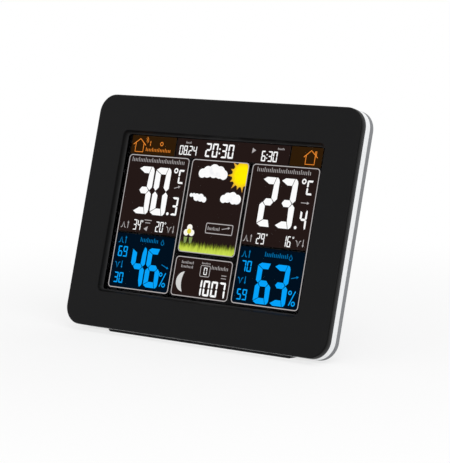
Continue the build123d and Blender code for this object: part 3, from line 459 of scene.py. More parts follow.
def moulded(name, colour, roughness, grain=2500.0, height=0.00002, drift=0.1, patches=0.08,
            metallic=0.0, specular=0.5, coat=0.0):
    """A moulded, coated or plated finish."""
    material, tree, shader = new_material(name)
    surface = add_node(tree, "ShaderNodeGroup", {
        "Colour": solid(colour), "Drift": drift, "Grain": grain, "Height": height,
        "Roughness": roughness, "Patches": patches},
        node_tree=group_named("moulded_surface", moulded_group)).outputs
    fill(tree, shader, {
        "Base Color": surface["Colour"], "Roughness": surface["Roughness"],
        "Normal": surface["Normal"], "Metallic": metallic, "Specular IOR Level": specular,
        "Coat Weight": coat})
    return material


def opened(material):
    """The tree of a moulded finish, its shader and its colour, for a pattern over it."""
    tree = material.node_tree
    kinds = {node.type: node for node in tree.nodes}
    return tree, kinds["BSDF_PRINCIPLED"], kinds["GROUP"].outputs["Colour"]


def light_up(tree, shader, colour):
    """Lets a piece glow in a colour and reflect nothing."""
    fill(tree, shader, {"Emission Color": colour, "Emission Strength": 1.0,
                        "Base Color": BLACK, "Specular IOR Level": 0.0})


def glowing(name, colour, unevenness=0.06):
    """A lit area of the display, which renders at about its own colour."""
    material, tree, shader = new_material(name)
    lit = add_node(tree, "ShaderNodeGroup", {"Colour": solid(colour), "Unevenness": unevenness},
                   node_tree=group_named("backlit_colour", glow_group))
    light_up(tree, shader, lit.outputs["Colour"])
    shader.inputs["Roughness"].default_value = 0.6
    return material


def dress(material, *nodes):
    """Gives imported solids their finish."""
    for node in nodes:
        for slot in frame["nodes"][node].material_slots:
            slot.material = material


def dress_slots(by_slot):
    """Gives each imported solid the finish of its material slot, where there is one."""
    for part in frame["record"]["subparts"]:
        if part["material_slot"] in by_slot:
            dress(by_slot[part["material_slot"]], part["node"])


# ---------------------------------------------------------------- what a user may change


def colour_property(name, description, default):
    """A colour that the sidebar shows as a swatch."""
    return FloatVectorProperty(name=name, description=description, subtype="COLOR", size=3,
                               min=0.0, max=1.0, default=default)


class StudioSettings(bpy.types.PropertyGroup):
    """The camera's place and the light."""

    azimuth: FloatProperty(name="Azimuth", description="How far the camera stands to the right",
                           default=math.radians(38.0), subtype="ANGLE")
    elevation: FloatProperty(name="Elevation", description="How far the camera looks down",
                             default=math.radians(7.8), subtype="ANGLE")
    distance: FloatProperty(name="Distance", description="From the display to the camera",
                            default=1.1176, unit="LENGTH")
    shift_right: FloatProperty(name="Right", description="How far the view is moved right",
                               default=0.0078, unit="LENGTH")
    shift_up: FloatProperty(name="Up", description="How far the view is moved up",
                            default=-0.0061, unit="LENGTH")
    lens: FloatProperty(name="Lens", description="Focal length in millimetres", default=153.2)
    key_power: FloatProperty(name="Key", description="Power of the large lamp", default=9.0,
                             unit="POWER")
    fill_power: FloatProperty(name="Fill", description="Power of the low lamp", default=3.0,
                              unit="POWER")
    surround: FloatProperty(name="Surround", description="Level of the light from all round",
                            default=0.7)
    floor_colour: colour_property("Floor", "Colour of the floor", (0.9, 0.9, 0.9))


class HousingSettings(bpy.types.PropertyGroup):
    """Colours of the outer mouldings."""

    face: colour_property("Face", "Colour of the front bezel", (0.0062, 0.0062, 0.0066))
    # The rim colour is a painted reflection, lightening the bezel's side towards the ring.
    rim: colour_property("Rim", "Colour of the bezel's rim by the ring", (0.06, 0.06, 0.062))
    ring: colour_property("Ring", "Colour of the silver ring", (0.86, 0.87, 0.88))
    cover: colour_property("Cover", "Colour of the rear cover", (0.20, 0.205, 0.215))
    rubber: colour_property("Rubber", "Colour of the feet", (0.014, 0.014, 0.015))
    keys: colour_property("Keys", "Colour of the keys", (0.02, 0.02, 0.021))
    marks: colour_property("Marks", "Colour of the marks on the keys", (0.55, 0.55, 0.56))


class DisplaySettings(bpy.types.PropertyGroup):
    """Colours, line width and grass of the display."""

    cell: colour_property("Cell", "Colour of the unlit cells", screen(36, 25, 23))
    amber_cell: colour_property("Amber cell", "Colour of the two amber cells", screen(46, 28, 9))
    blue_cell: colour_property("Blue cell", "Colour of the two humidity cells", screen(1, 16, 31))
    white: colour_property("White", "Colour of the white figures", screen(252, 252, 252))
    blue: colour_property("Blue", "Colour of the blue figures", screen(6, 162, 250))
    amber: colour_property("Amber", "Colour of the amber signs", screen(240, 140, 50))
    line: colour_property("Lines", "Colour of the cell outlines", screen(178, 173, 173))
    line_width: FloatProperty(name="Line width", description="Width of the cell outlines",
                              default=0.00052, unit="LENGTH")
    seed: IntProperty(name="Seed", description="Seed of the grass", default=11)


class InnerSettings(bpy.types.PropertyGroup):
    """Colours of the parts inside the housing."""

    board: colour_property("Board", "Colour of the circuit boards", (0.012, 0.16, 0.045))
    copper: colour_property("Copper", "Colour of bare copper", (0.72, 0.32, 0.14))
    sleeve: colour_property("Sleeve", "Colour of the cells' sleeves", (0.02, 0.06, 0.22))
    band: colour_property("Band", "Colour of the cells' plus bands", (0.62, 0.63, 0.65))


# ---------------------------------------------------------------- stage


FLOOR_RADIUS = 6.0
# Where the floor begins to run out into white and where it ends, and the white's share there.
FADE_REACH, FADE_SHARE = (0.12, 0.45), (0.72, 1.0)
# Each lamp's power setting, the side of its square and where it stands, in metres.
LAMPS = {"key_lamp": ("key_power", 1.1, (0.9, -0.5, 1.3)),
         "fill_lamp": ("fill_power", 0.9, (0.9, -1.1, 0.25))}
SENSOR_WIDTH = 36.0


class StationStage(bpy.types.Operator):
    """Sets the floor, the soft light and the camera"""

    bl_idname = "station.stage"
    bl_label = "Stage"

    def execute(self, context):
        """Builds the studio."""
        studio = context.scene.station_studio
        self.make_floor(studio)
        self.make_world(studio)
        self.make_lamps(studio)
        self.make_camera(context, studio)
        context.scene.view_settings.view_transform = "Standard"
        return {"FINISHED"}

    @staticmethod
    def seen_directly(tree):
        """One where a ray comes from the camera, a mirror or through glass."""
        path = add_node(tree, "ShaderNodeLightPath").outputs
        either = maths(tree, "MAXIMUM", path["Is Camera Ray"], path["Is Glossy Ray"])
        return maths(tree, "MAXIMUM", either, path["Is Transmission Ray"])

    @staticmethod
    def finish(tree, kind, share, first, second):
        """Mixes two shaders into a tree's output."""
        both = add_node(tree, "ShaderNodeMixShader", {
            0: share, 1: first.outputs[0], 2: second.outputs[0]})
        add_node(tree, kind, {"Surface": both.outputs[0]})

    def make_floor(self, studio):
        """A round pale floor that runs out into white."""
        floor = bmesh.new()
        bmesh.ops.create_circle(floor, cap_ends=True, segments=96, radius=FLOOR_RADIUS)
        material = bpy.data.materials.new("studio_floor")
        material.use_nodes = True
        tree = material.node_tree
        tree.nodes.clear()
        fade = ranged(tree, measured(tree, "LENGTH", object_point(tree)), *FADE_REACH,
                      *FADE_SHARE, interpolation_type="SMOOTHSTEP")
        matt = add_node(tree, "ShaderNodeBsdfDiffuse", {"Color": solid(studio.floor_colour)})
        white = add_node(tree, "ShaderNodeEmission", {"Color": WHITE, "Strength": 1.0})
        share = maths(tree, "MULTIPLY", fade, self.seen_directly(tree))
        self.finish(tree, "ShaderNodeOutputMaterial", share, matt, white)
        mesh_object("studio_floor", floor, material)

    def make_world(self, studio):
        """White where it is seen, and a soft even light elsewhere."""
        world = bpy.data.worlds.new("studio_surround")
        bpy.context.scene.world = world
        world.use_nodes = True
        tree = world.node_tree
        tree.nodes.clear()
        soft, white = (add_node(tree, "ShaderNodeBackground", {"Color": WHITE, "Strength": level})
                       for level in (studio.surround, 1.0))
        self.finish(tree, "ShaderNodeOutputWorld", self.seen_directly(tree), soft, white)

    @staticmethod
    def make_lamps(studio):
        """A large key lamp high on the right, and a low one in front."""
        target = centre_of("front_bezel")
        for name, (power, size, stand) in LAMPS.items():
            data = bpy.data.lights.new(name, "AREA")
            data.shape = "SQUARE"
            data.size = size
            data.energy = getattr(studio, power)
            lamp = bpy.data.objects.new(name, data)
            lamp.location = stand
            lamp.rotation_euler = (target - Vector(stand)).to_track_quat("-Z", "Y").to_euler()
            bpy.context.scene.collection.objects.link(lamp)

    @staticmethod
    def make_camera(context, studio):
        """The camera, level, at its angle to the display."""
        turn, tilt = studio.azimuth, studio.elevation
        right = Vector((math.cos(turn), math.sin(turn), 0))
        back = Vector((math.sin(turn) * math.cos(tilt), -math.cos(turn) * math.cos(tilt),
                       math.sin(tilt)))
        up = back.cross(right)
        data = bpy.data.cameras.new("studio_camera")
        data.lens = studio.lens
        data.sensor_width = SENSOR_WIDTH
        camera = bpy.data.objects.new("studio_camera", data)
        camera.location = (centre_of("display_window") + right * studio.shift_right
                           + up * studio.shift_up + back * studio.distance)
        camera.rotation_euler = Matrix((right, up, back)).transposed().to_euler()
        context.scene.collection.objects.link(camera)
        context.scene.camera = camera


# ---------------------------------------------------------------- the solids' finishes


# How square to the face the bezel's surface is where its face ends, and where its rim begins.
FACE_ENDS, RIM_BEGINS = 0.97, 0.3


class StationShell(bpy.types.Operator):
    """Finishes the bezel, the silver ring, the cover and the feet"""

    bl_idname = "station.shell"
    bl_label = "Shell"

    def execute(self, context):
        """Gives each outer moulding its finish."""
        shell = context.scene.station_housing
        dress(self.bezel_finish(shell), "front_bezel")
        silver = moulded("ring_silver", shell.ring, 0.3, grain=5200.0, height=0.000004,
                         metallic=0.85, drift=0.05, patches=0.06)
        dress(silver, "trim_ring")
        grey = moulded("cover_grey", shell.cover, 0.5, grain=2600.0, height=0.00002,
                       specular=0.3)
        dress(grey, "rear_cover", "battery_door", "stand")
        rubber = moulded("foot_rubber", shell.rubber, 0.8, grain=1500.0, height=0.00005,
                         specular=0.2, drift=0.25)
        dress(rubber, "foot_bar", "stand_pad")
        return {"FINISHED"}

    @staticmethod
    def bezel_finish(shell):
        """Matt black on the face; on the rim, painted shade darkens the edge round the face and a painted
        reflection makes the smoother rim behind paler.
        """
        material = moulded("bezel_black", shell.face, 0.5, grain=3200.0, height=0.000012,
                           specular=0.09, drift=0.16)
        tree, shader, face = opened(material)
        normal = add_node(tree, "ShaderNodeNewGeometry").outputs["True Normal"]
        painted_rim_share = ranged(tree, measured(tree, "DOT_PRODUCT", normal, -DEPTH), FACE_ENDS, RIM_BEGINS)
        back = ranged(tree, along(tree, DEPTH), span("front_bezel", DEPTH)[0],
                      span("trim_ring", DEPTH)[0])
        # The rim's colour is painted light: painted shade at the face's edge, rising to a painted reflection
        # towards the ring.
        rim = colour_ramp(tree, back, [(0.0, (0.0, 0.0, 0.0)), (0.25, (0.001, 0.001, 0.001)),
                                       (0.45, (0.012, 0.012, 0.012)), (1.0, shell.rim)])
        fill(tree, shader, {"Base Color": mixed(tree, painted_rim_share, face, rim)})
        return material


# Low, so that the thin window hardly mirrors the studio over the figures.
WINDOW_IOR = 1.01


class StationWindow(bpy.types.Operator):
    """Finishes the clear window and the layers of the display behind it"""

    bl_idname = "station.window"
    bl_label = "Window"

    def execute(self, context):
        """Gives the optical parts their finish."""
        clear, tree, shader = new_material("window_clear")
        rough = ranged(tree, noise(tree, 30.0, 4.0), 0.0, 1.0, 0.0, 0.03)
        fill(tree, shader, {"Roughness": rough, "Base Color": WHITE,
                            "Transmission Weight": 1.0, "IOR": WINDOW_IOR})
        dress(clear, "display_window")
        dark = moulded("display_dark", (0.0012, 0.0012, 0.0014), 0.35, grain=6000.0,
                       height=0.000001, specular=0.05, drift=0.2)
        dress(dark, "lcd_glass")
        white = moulded("diffuser_white", (0.83, 0.84, 0.86), 0.6, grain=4000.0,
                        height=0.00001, drift=0.04)
        dress(white, "diffuser_sheet", "light_guide", "display_carrier")
        return {"FINISHED"}


# Shares of a cell's length from its minus end: where the plus band begins, and the middle and
# half the length of what the sleeve covers.
BAND_BEGINS, SLEEVE_MIDDLE, SLEEVE_HALF = 0.72, 0.49, 0.47
BARE_METAL = (0.62, 0.62, 0.6)


class StationInside(bpy.types.Operator):
    """Finishes the boards, the radio, the sensor and the wiring"""

    bl_idname = "station.inside"
    bl_label = "Inside"

    def execute(self, context):
        """Gives the parts inside the housing their finish."""
        inner = context.scene.station_inner
        board = moulded("circuit_green", inner.board, 0.35, grain=900.0, height=0.00003,
                        drift=0.35, coat=0.3)
        chip = moulded("chip_black", (0.022, 0.022, 0.024), 0.55, grain=4000.0, height=0.00001)
        ribbon = moulded("ribbon_amber", (0.55, 0.24, 0.04), 0.3, drift=0.2)
        brass = moulded("brass_disc", (0.78, 0.57, 0.25), 0.3, metallic=1.0)
        copper = moulded("copper_wire", inner.copper, 0.3, metallic=1.0)
        steel = moulded("screw_steel", (0.56, 0.57, 0.58), 0.32, metallic=1.0)
        nickel = moulded("nickel_contact", (0.7, 0.69, 0.66), 0.24, metallic=1.0)
        dress_slots({"circuit_green": board, "chip_black": chip, "ribbon_amber": ribbon,
                     "brass_disc": brass, "copper_wire": copper, "screw_steel": steel,
                     "nickel_contact": nickel})
        self.dress_cells(inner)
        return {"FINISHED"}

    @staticmethod
    def dress_cells(inner):
        """A plain dark sleeve with a light band at the plus end, and bare metal at both ends."""
        for number in (1, 2, 3):
            cell = f"battery_{number}"
            low, high = span(cell, UPWARD)
            spring = centre_of(f"battery_spring_{number}").dot(UPWARD)
            minus, plus = (low, high) if spring < (low + high) / 2 else (high, low)
            material = moulded(f"cell_shell_{number}", inner.sleeve, 0.3, coat=0.4)
            tree, shader, sleeve = opened(material)
            share = ranged(tree, along(tree, UPWARD), minus, plus)
            banded = mixed(tree, maths(tree, "GREATER_THAN", share, BAND_BEGINS), sleeve,
                           solid(inner.band))
            covered = maths(tree, "COMPARE", share, SLEEVE_MIDDLE, SLEEVE_HALF)
            bare = maths(tree, "SUBTRACT", 1.0, covered)
            fill(tree, shader, {"Base Color": mixed(tree, bare, banded, solid(BARE_METAL)),
                                "Metallic": bare})
            dress(material, cell)


class StationKeys(bpy.types.Operator):
    """Finishes the rear keys and the light bar"""

    bl_idname = "station.keys"
    bl_label = "Keys"

    def execute(self, context):
        """Gives the keys their finish."""
        black = moulded("key_black", context.scene.station_housing.keys, 0.55, grain=3000.0,
                        height=0.00001, specular=0.3)
        dress_slots({"key_black": black})
        return {"FINISHED"}


# The ink reaches into the keys' shallow dishes and stands a little proud of their middle.
INK_LAYER = (-0.3, 0.12)
SIGN_SCALE = 1.25
FAR_BEHIND = 0.02


class StationMarks(bpy.types.Operator):
    """Prints a plain sign on each rear key"""

    bl_idname = "station.marks"
    bl_label = "Key marks"

    def execute(self, context):
        """Builds one printed sign for each key."""
        ink = moulded("key_ink", context.scene.station_housing.marks, 0.6, grain=5000.0,
                      height=0.000004)
        bpy.context.view_layer.update()
        for name, draw in (("mode", self.mode_sign), ("alarm", self.alarm_sign),
                           ("up", self.up_sign), ("down", self.down_sign),
                           ("memory", self.memory_sign), ("channel", self.channel_sign),
                           ("light", self.light_sign)):
            bm = bmesh.new()
            draw(bm)
            key = "light_bar" if name == "light" else f"key_{name}"
            place(f"mark_{name}", bm, self.key_top(key), ink, f"press_{name}")
        return {"FINISHED"}

    @staticmethod
    def key_top(node):
        """The drawing plane on the middle of a key's outer face, at the signs' scale."""
        start = centre_of(node) + DEPTH * FAR_BEHIND
        found, spot, _, _ = frame["nodes"][node].ray_cast(start, -DEPTH)
        if not found:
            raise RuntimeError(f"{node} has no face to print on")
        return plane(spot, -ACROSS, UPWARD) @ Matrix.Diagonal((SIGN_SCALE, SIGN_SCALE, 1, 1))

    @staticmethod
    def mode_sign(bm):
        """A square outline."""
        raised(bm, flat_frame(-1.1, 1.1, -1.1, 1.1, 0.3, 0.35), INK_LAYER)

    @staticmethod
    def alarm_sign(bm):
        """A bell."""
        bell = arc(0, 0.2, 0.85, 180, 0, 10) + [(1.3, -0.9), (-1.3, -0.9)]
        raised(bm, flat_shape(bell), INK_LAYER)
        raised(bm, flat_disc(0, -1.25, 0.28, 12), INK_LAYER)

    @staticmethod
    def up_sign(bm):
        """A triangle that points up."""
        raised(bm, flat_shape([(-1.3, -0.9), (1.3, -0.9), (0, 1.2)]), INK_LAYER)

    @staticmethod
    def down_sign(bm):
        """A triangle that points down."""
        raised(bm, flat_shape([(-1.3, 0.9), (0, -1.2), (1.3, 0.9)]), INK_LAYER)

    @staticmethod
    def memory_sign(bm):
        """Three stacked lines."""
        for u in (-1.0, -0.18, 0.64):
            raised(bm, flat_box(-1.2, 1.2, u, u + 0.36), INK_LAYER)

    @staticmethod
    def channel_sign(bm):
        """Radio waves over a spot."""
        raised(bm, flat_disc(0, -0.9, 0.3, 12), INK_LAYER)
        stroked(bm, [arc(0, -0.9, 1.1, 140, 40, 8), arc(0, -0.9, 1.9, 140, 40, 10)], 0.36,
                layer=INK_LAYER)

    @staticmethod
    def light_sign(bm):
        """A lamp with rays."""
        raised(bm, flat_disc(0, 0, 0.7, 20), INK_LAYER)
        for k in range(8):
            turn = math.radians(45 * k)
            ray = [(r * math.cos(turn), r * math.sin(turn)) for r in (1.05, 1.65)]
            stroked(bm, [ray], 0.32, layer=INK_LAYER)


# ---------------------------------------------------------------- the display

CELL_TOP, CELL_FOOT = 34.7, -44.6
COLUMN_RADIUS, CORNER_RADIUS, BOX_RADIUS = 2.2, 0.4, 1.0
# Left and right edges of the two reading columns, and of the picture between them.
COLUMNS, PICTURE = ((-68.6, -23.2), (22.5, 68.8)), (-21.1, 20.0)
SPLIT_HIGH, SPLIT_LOW = -11.1, -12.2
PICTURE_FOOT, PRESSURE_TOP = -19.3, -21.8
MIDDLE_CELLS = ((*PICTURE, PICTURE_FOOT, CELL_TOP), (*PICTURE, CELL_FOOT, PRESSURE_TOP))
# The strip over them: its foot and top, and the edges of its dark and its amber cells.
TOP_STRIP = (35.1, 46.1)
CLOCK_CELL, AMBER_CELLS = (-34.3, 46.6), ((-68.6, -35.3), (47.4, 68.7))
# Small boxes round the trend and the count of hours, and the thinner line of the second.
TREND_BOX, HOURS_BOX, THINNER = (-3.6, 15.9, -7.4, -1.2), (-2.4, 4.7, -32.2, -25.6), 0.8


class StationCells(bpy.types.Operator):
    """Lays the dark cells of the display and draws their outlines"""

    bl_idname = "station.cells"
    bl_label = "Display cells"

    def execute(self, context):
        """Builds the unlit areas and the lines round them."""
        look = context.scene.station_display
        self.lay("display_cells", glowing("cell_dark", look.cell),
                 *((*edges, SPLIT_HIGH, CELL_TOP, COLUMN_RADIUS) for edges in COLUMNS),
                 *((*cell, COLUMN_RADIUS) for cell in MIDDLE_CELLS), (*CLOCK_CELL, *TOP_STRIP))
        self.lay("display_cells_amber", glowing("cell_amber", look.amber_cell),
                 *((*edges, *TOP_STRIP, CORNER_RADIUS) for edges in AMBER_CELLS))
        self.lay("display_cells_blue", glowing("cell_blue", look.blue_cell),
                 *((*edges, CELL_FOOT, SPLIT_LOW, COLUMN_RADIUS) for edges in COLUMNS))
        width = look.line_width / MM
        lines = bmesh.new()
        for cell in (*((*edges, CELL_FOOT, CELL_TOP) for edges in COLUMNS), *MIDDLE_CELLS):
            raised(lines, flat_frame(*cell, COLUMN_RADIUS, width))
        raised(lines, flat_frame(*TREND_BOX, BOX_RADIUS, width))
        raised(lines, flat_frame(*HOURS_BOX, BOX_RADIUS, THINNER * width))
        on_display("display_outlines", lines, glowing("outline_grey", look.line))
        return {"FINISHED"}

    @staticmethod
    def lay(name, material, *boxes):
        """Lays cells of one colour, each given by its edges and its corners' radius."""
        bm = bmesh.new()
        for box in boxes:
            raised(bm, flat_box(*box), CELL_LAYER)
        on_display(name, bm, material)


# Rows of figures: text, left edge, foot, then their size, pitch and bar thickness.
BIG, BLUE_BIG = ((11.4, 28.0), 12.7, 3.9), ((10.6, 22.9), 11.6, 3.35)
LETTER, TIME, DATE = ((4.6, 8.2), 5.0, 1.1), ((4.0, 8.1), 4.9, 1.0), ((2.6, 5.5), 3.2, 0.6)
LIMIT, BLUE_LIMIT = ((2.5, 6.1), 3.1, 0.6), ((3.1, 6.2), 3.8, 0.72)
OUTDOOR = (("30", -59.3, 0.0, *BIG), ("3", -31.0, 0.8, (4.5, 10.7), 5.0, 1.25),
           ("C", -29.5, 19.5, *LETTER))
INDOOR = (("23", 31.4, -0.2, *BIG), ("4", 60.2, 0.4, (4.7, 10.6), 5.0, 1.25),
          ("C", 61.6, 19.5, *LETTER))
HUMIDITY = (("46", -54.0, -42.3, *BLUE_BIG), ("63", 37.5, -43.2, *BLUE_BIG))
CLOCK = (("20", -12.9, 36.3, *TIME), ("30", -1.5, 36.3, *TIME),
         ("6", 27.3, 36.3, (3.0, 6.0), 3.6, 0.75), ("30", 31.8, 36.3, (3.0, 6.0), 3.5, 0.75),
         ("08", -32.0, 36.5, *DATE), ("24", -25.1, 36.5, *DATE))
PRESSURE = (("1007", -3.9, -43.0, (4.5, 9.0), 5.6, 1.2), ("0", 0.2, -31.0, (2.4, 4.2), 3.0, 0.5))
LIMITS = (("34", -57.1, -9.7, *LIMIT), ("20", -40.2, -9.7, *LIMIT), ("29", 33.1, -10.2, *LIMIT),
          ("16", 51.2, -10.2, *LIMIT))
BLUE_LIMITS = (("69", -65.1, -26.1, *BLUE_LIMIT), ("30", -65.1, -41.6, *BLUE_LIMIT),
               ("70", 26.0, -26.3, *BLUE_LIMIT), ("59", 25.9, -42.3, *BLUE_LIMIT))
# Round marks: middle, radius and, where it isn't the usual one, the number of sides.
CLOCK_DOTS = ((-2.7, 38.9, 0.55, 12), (-2.7, 41.4, 0.55, 12), (31.1, 38.2, 0.4, 12),
              (31.1, 40.2, 0.4, 12), (-25.6, 36.9, 0.4, 12))
SMALL_DEGREES = ((-50.6, -4.3, 0.45, 12), (-33.3, -4.2, 0.45, 12), (40.0, -4.7, 0.45, 12),
                 (58.1, -4.7, 0.45, 12))
PERCENTS = ((-30.4, -33.9), (61.9, -35.0))
DEGREE_WIDTH, SMALL_DEGREE_WIDTH, PERCENT_WIDTH = 0.8, 0.3, 0.65


class StationFigures(bpy.types.Operator):
    """Draws the lit figures: temperatures, humidities, clock, alarm and pressure"""

    bl_idname = "station.figures"
    bl_label = "Display figures"

    def execute(self, context):
        """Builds the white and the blue figures."""
        look = context.scene.station_display
        white = glowing("figure_white", look.white, 0.03)
        blue = glowing("figure_blue", look.blue, 0.08)
        circles = [circle for x, u in PERCENTS
                   for circle in ((x, u, 0.95), (x + 3.0, u - 5.9, 1.05))]
        slashes = [[(x + 0.2, u - 7.0), (x + 3.5, u + 1.1)] for x, u in PERCENTS]
        for name, material, drawn in (
                ("outdoor_temperature", white, drawing(
                    OUTDOOR, [(-33.1, 1.5, 0.9)], [(-31.8, 26.9, 1.15)], width=DEGREE_WIDTH)),
                ("indoor_temperature", white, drawing(
                    INDOOR, [(58.2, 1.0, 0.9)], [(59.3, 26.9, 1.15)], width=DEGREE_WIDTH)),
                ("humidity_figures", blue, drawing(
                    HUMIDITY, rings=circles, lines=slashes, width=PERCENT_WIDTH)),
                ("clock_figures", white, drawing(CLOCK, CLOCK_DOTS)),
                ("pressure_figures", white, drawing(PRESSURE)),
                ("temperature_limits", white, drawing(
                    LIMITS, rings=SMALL_DEGREES, width=SMALL_DEGREE_WIDTH)),
                ("humidity_limits", blue, drawing(BLUE_LIMITS))):
            on_display(name, drawn, material)
        return {"FINISHED"}


# Rows of graduation ticks: left and right end, foot, height and pitch.
WHITE_SCALES = ((-65.8, -26.6, 30.6, 2.6, 1.25), (26.3, 63.0, 30.5, 2.6, 1.25),
                (5.8, 17.0, -27.4, 2.2, 1.1), (-16.2, -8.2, -25.8, 1.6, 1.0),
                (-16.2, -8.2, -28.2, 1.6, 1.0), (-1.8, 6.4, -5.3, 2.0, 1.0),
                (-27.6, -24.4, 43.3, 1.2, 0.8), (38.2, 42.8, 43.4, 1.2, 0.8),
                (-1.6, 4.4, -24.9, 1.0, 0.8))
BLUE_SCALES = ((-49.3, -36.0, -16.3, 2.6, 1.25), (41.2, 56.2, -16.7, 2.6, 1.25))
AMBER_SCALE = (-57.0, -39.0, 37.0, 2.2, 1.2)
HALF_TICK, TALL_EVERY, SHORT_SHARE = 0.2, 4, 0.72
# Signs of the highest and lowest readings: left end, foot, and whether it is the highest.
WHITE_LIMIT_SIGNS = ((-66.3, -9.0, True), (-32.0, -9.4, False), (24.2, -9.3, True),
                     (60.0, -9.4, False))
BLUE_LIMIT_SIGNS = ((-65.9, -18.0, True), (-65.9, -32.8, False), (25.0, -18.2, True),
                    (25.0, -33.2, False))
PEAK, TROUGH, PEAK_STEP = (0.0, 0.5, 3.4, 0.5, 0.0), (3.4, 2.9, 0.0, 2.9, 3.4), 0.9
# Trend arrows, from tail to tip, and small pointers by their corners.
WHITE_ARROWS = (((-31.2, 16.6), (-26.8, 18.0)), ((59.4, 15.0), (65.0, 15.0)),
                ((8.0, -4.3), (13.8, -3.0)))
BLUE_ARROWS = (((-31.0, -28.2), (-25.6, -30.2)), ((61.0, -27.2), (66.0, -25.9)))
POINTERS = (((20.3, 40.4), (23.0, 42.2), (20.5, 43.5)),
            ((-48.9, -8.6), (-46.0, -6.9), (-46.4, -9.8)))
# Short rules in place of units, and drops of water by the middle of their round part.
LIMIT_RULES = (((-49.2, -3.4), (-43.8, -3.4)), ((-48.4, -5.0), (-44.6, -5.0)))
PRESSURE_RULES = (((13.2, -30.3), (16.8, -30.3)), ((13.2, -31.9), (16.8, -31.9)))
DROPS, DROP_RADIUS, DROP_TIP = ((-33.0, -16.0), (58.6, -16.3)), 1.0, 2.1
# The two houses: roof and walls, and the indoor one's chimney.
OUTDOOR_HOUSE = (((-67.2, 40.6), (-62.4, 44.2), (-57.8, 40.4)),
                 ((-65.4, 41.6), (-65.4, 36.4), (-59.4, 36.4), (-59.4, 41.4)))
INDOOR_HOUSE = (((56.3, 40.4), (60.9, 44.3), (65.6, 40.4)),
                ((57.8, 41.5), (57.8, 36.5), (63.9, 36.5), (63.9, 41.5)),
                ((63.7, 42.2), (63.7, 43.8), (64.5, 43.8), (64.5, 41.5)))


class StationSigns(bpy.types.Operator):
    """Draws the display's small signs: houses, arrows, drops and scales"""

    bl_idname = "station.signs"
    bl_label = "Display signs"

    def execute(self, context):
        """Builds the signs, each colour as one piece."""
        look = context.scene.station_display
        on_display("white_signs", self.white_signs(), glowing("sign_white", look.line))
        on_display("blue_signs", self.blue_signs(),
                   glowing("sign_blue", [0.55 * value for value in look.blue]))
        on_display("amber_signs", self.amber_signs(), glowing("sign_amber", look.amber))
        return {"FINISHED"}

    @staticmethod
    def scale_ticks(bm, left, right, foot, height, pitch):
        """A row of graduation ticks, with taller ones between."""
        for k in range(int((right - left) / pitch) + 1):
            x = left + k * pitch
            tall = height if k % TALL_EVERY == 0 else SHORT_SHARE * height
            raised(bm, flat_box(x - HALF_TICK, x + HALF_TICK, foot, foot + tall))

    @staticmethod
    def limit_sign(bm, x, u, rising):
        """A peak or a trough, with an arrow beside it."""
        heights = PEAK if rising else TROUGH
        stroked(bm, [[(x + PEAK_STEP * k, u + height) for k, height in enumerate(heights)]], 0.5)
        ends = ((x + 5.2, u - 0.2), (x + 5.2, u + 4.2))
        arrow(bm, *(ends if rising else reversed(ends)), 0.45, 1.3)

    def readings_signs(self, scales, limit_signs, arrows, head):
        """What the white and the blue signs share: scales, limit signs and trend arrows."""
        bm = bmesh.new()
        for scale in scales:
            self.scale_ticks(bm, *scale)
        for sign in limit_signs:
            self.limit_sign(bm, *sign)
        for tail, tip in arrows:
            arrow(bm, tail, tip, 0.4, head)
        return bm

    def white_signs(self):
        """The signs of the temperatures, the clock and the pressure."""
        bm = self.readings_signs(WHITE_SCALES, WHITE_LIMIT_SIGNS, WHITE_ARROWS, 1.6)
        for pointer in POINTERS:
            raised(bm, flat_shape(pointer))
        stroked(bm, LIMIT_RULES, 0.45)
        stroked(bm, PRESSURE_RULES, 0.4)
        return bm

    def blue_signs(self):
        """The signs of the humidities, with their drops of water."""
        bm = self.readings_signs(BLUE_SCALES, BLUE_LIMIT_SIGNS, BLUE_ARROWS, 1.5)
        for x, u in DROPS:
            drop = arc(x, u, DROP_RADIUS, -210, 30, 18) + [(x, u + DROP_TIP * DROP_RADIUS)]
            stroked(bm, [drop], 0.35, closed=True)
        return bm

    def amber_signs(self):
        """The outdoor house with its radio waves, and the indoor house with its chimney."""
        bm = drawing([("1", -55.6, 40.2, (1.4, 3.0), 2.0, 0.5)], rings=[(-45.9, 41.8, 1.0)],
                     width=0.45)
        stroked(bm, OUTDOOR_HOUSE + INDOOR_HOUSE, 0.5)
        stroked(bm, [arc(-58.6, 43.4, 1.3, -40, 60, 6), arc(-58.6, 43.4, 2.3, -40, 60, 8)], 0.35)
        self.scale_ticks(bm, *AMBER_SCALE)
        return bm


# The sun: its middle and radius, and its rays' number, long and short reach and share of a turn.
SUN_X, SUN_U, SUN_RADIUS = 16.0, 27.6, 7.0
RAYS, RAY_REACHES, GAP_SHARE = 15, (8.9, 10.4), 0.42
PICTURE_INSET = 0.45
# The clouds' round puffs: middle and radius.
CLOUDS = (((-12.4, 26.8, 2.7), (-8.8, 27.8, 3.4), (-4.2, 28.5, 4.0), (0.0, 28.0, 3.6),
           (3.0, 26.7, 2.8)),
          ((-17.9, 13.7, 1.1), (-16.0, 13.8, 1.2), (-13.8, 12.7, 2.2), (-10.8, 12.6, 2.3),
           (-8.2, 11.7, 1.7)),
          ((5.6, 13.1, 2.3), (8.4, 14.0, 2.9), (11.8, 14.4, 3.1), (15.2, 13.4, 2.8),
           (12.6, 12.8, 2.3)))
# The grass: its number of blades, the heights of their feet and tips, and its rounded corners.
BLADES, BLADE_FOOT, BLADE_TIP, GRASS_CORNER = 62, -15.6, -12.0, 1.4
FLOWER_X, PETAL_SIDE, LEAF_SIDE = -15.0, 1.95, 1.9
# The moon: its tips, its middle and half height, and how far its two edges reach.
MOON_TIPS, MOON_MIDDLE, MOON_HALF, MOON_EDGES = -13.2, -36.2, 5.8, (-18.5, -14.7)


